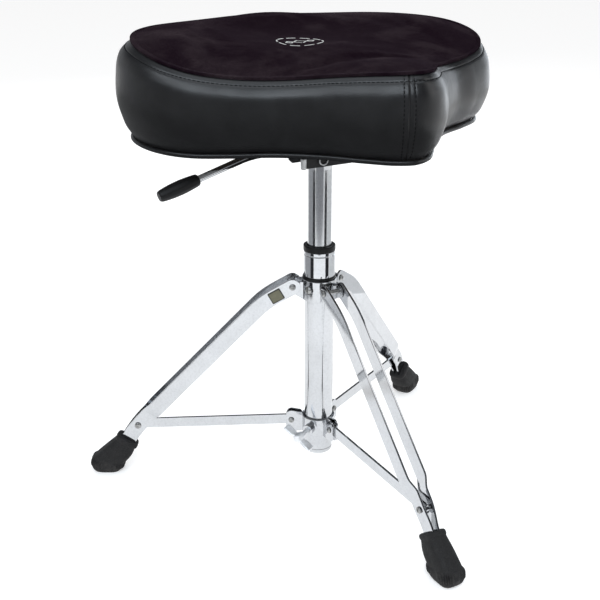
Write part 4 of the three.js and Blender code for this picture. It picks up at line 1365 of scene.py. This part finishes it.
def add_motif(top):
    """An embroidered ring of dashes round a row of diamonds, a plain pattern of white thread."""
    mesh = top.data
    tree = BVHTree.FromPolygons([vertex.co for vertex in mesh.vertices],
                                [tuple(face.vertices) for face in mesh.polygons])
    lines = []
    dashes = 10
    for dash in range(dashes):
        start = 360 * dash / dashes
        lines.append([Vector(place) for place in arc((0, 0), 25, start, start + 25, 24)])
    for offset, size in ((-13, 4.4), (0, 7.6), (13, 4.4)):
        corners = [Vector((offset, -size)), Vector((offset + size, 0)), Vector((offset, size)),
                   Vector((offset - size, 0)), Vector((offset, -size))]
        lines.append(sample_line(corners, [size * i / 9 for i in range(51)]))
    threads = []
    for line in lines:
        for here, after in zip(line, line[1:]):
            across = (after - here).normalized().orthogonal() * 0.75
            path, normal = laid_on(tree, [MOTIF_MIDDLE + here - across, MOTIF_MIDDLE + here + across])
            threads += stitches(path, [normal, normal], 1.4, 1.4, 0.27, sunk=-0.1)
    add_piece("embroidery", gathered(threads), WHITE_THREAD, "seat", flat_sides=False)


def laid_on(tree, places):
    """Places dropped onto a surface from above, and its normal at the last of them."""
    dropped = []
    for place in places:
        hit = tree.ray_cast(TO_FRAME @ Vector((place.x, place.y, 600)), Vector((0, 0, -1)))
        dropped.append(TO_FRAME.inverted() @ hit[0])
    return dropped, hit[1]


def build_underside(stations):
    rings = []
    for place, outward, *_ in stations:
        centre = place - outward * WELT_INSET + Vector((0, 0, WELT_Z))
        rings.append([centre + outward * WELT_RADIUS * math.cos(a)
                      + Vector((0, 0, WELT_RADIUS * math.sin(a))) for a in turns(16)])
    add_piece("piping", loft(rings, looped=True), VINYL, "seat", ["welt_piping"], flat_sides=False)
    random.seed(4)
    phase = [random.uniform(0, 6.28) for _ in range(3)]
    low, high = BOARD_LOW - 0.95, BOARD_LOW - 0.15
    hem_rows = []
    for inset, height in ((17.8, low + 0.3), (20, low), (28, low), (37, low), (37.4, high), (28, high),
                          (20, high), (18, high)):
        row = []
        for i, (place, outward, *_) in enumerate(stations):
            angle = 2 * math.pi * i / len(stations)
            ragged = math.sin(9 * angle + phase[0]) + 0.6 * math.sin(23 * angle + phase[1])
            extra = ragged * 0.9 if inset > 30 else 0
            row.append(place - outward * (inset + extra) + Vector((0, 0, height)))
        hem_rows.append(row)
    add_piece("stapled_hem", loft(hem_rows, looped=True), VINYL, "seat", flat_sides=False)
    staples = []
    count = 60
    length = outline_length()
    for place, outward, *_ in outline_stations([length * (i + 0.5) / count for i in range(count)]):
        centre = place - outward * 30 + Vector((0, 0, low - 0.15))
        ahead = Vector((-outward.y, outward.x, 0))
        path = [centre - ahead * 5, centre + ahead * 5]
        staples += stitches(path, [Vector((0, 0, -1))] * 2, 10, 10, 0.5, sunk=0)
    add_piece("staples", gathered(staples), STEEL, "seat", flat_sides=False)


def dress_kept_nodes():
    dress_cad(STEEL, "gas_rod", "gas_piston", "rod_clip", "valve_button", "lever_spring")
    dress_cad(PLASTIC, "post_gland")
    dress_cad(PAINTED, "seat_channel", "mounting_plate", edge=0.4)
    dress_cad(PLYWOOD, "seat_board", edge=0.5)
    dress_cad(STEEL, *[f"plate_bolt_{i}" for i in range(1, 5)], edge=0.3)
    dress_cad(ZINC, "cheek_clip", edge=0.2)


CHROME = chrome_look("bright_chrome", (0.6, 0.61, 0.625), 0.035)
CAST_CHROME = chrome_look("plated_casting", (0.9, 0.91, 0.925), 0.34)
POST_CHROME = post_look("hard_chrome", (0.56, 0.57, 0.58), 0.14)
STEEL = steel_look("plain_steel", (0.42, 0.42, 0.41), 0.3)
ZINC = steel_look("bright_zinc", (0.6, 0.61, 0.62), 0.36)
PAINTED = painted_look("black_powder_coat")
PLASTIC = plastic_look("moulded_black_plastic")
RUBBER = rubber_look("moulded_rubber")
VELVET = velvet_look("dark_velvet")
VINYL = vinyl_look("black_vinyl")
THREAD = thread_look("black_thread", (0.004, 0.004, 0.0045))
WHITE_THREAD = thread_look("white_thread", (0.78, 0.78, 0.76))
LABEL = label_look("label_olive", (0.12, 0.115, 0.075))
LABEL_DARK = label_look("label_dark", (0.02, 0.02, 0.018))
PLYWOOD = plywood_look("stained_plywood")

add_studio()
build_column()
build_upper_hub()
build_lower_hub()
build_wing_bolt()
build_legs()
build_lever()
build_lever_pin()
build_underside(build_cushion())
dress_kept_nodes()
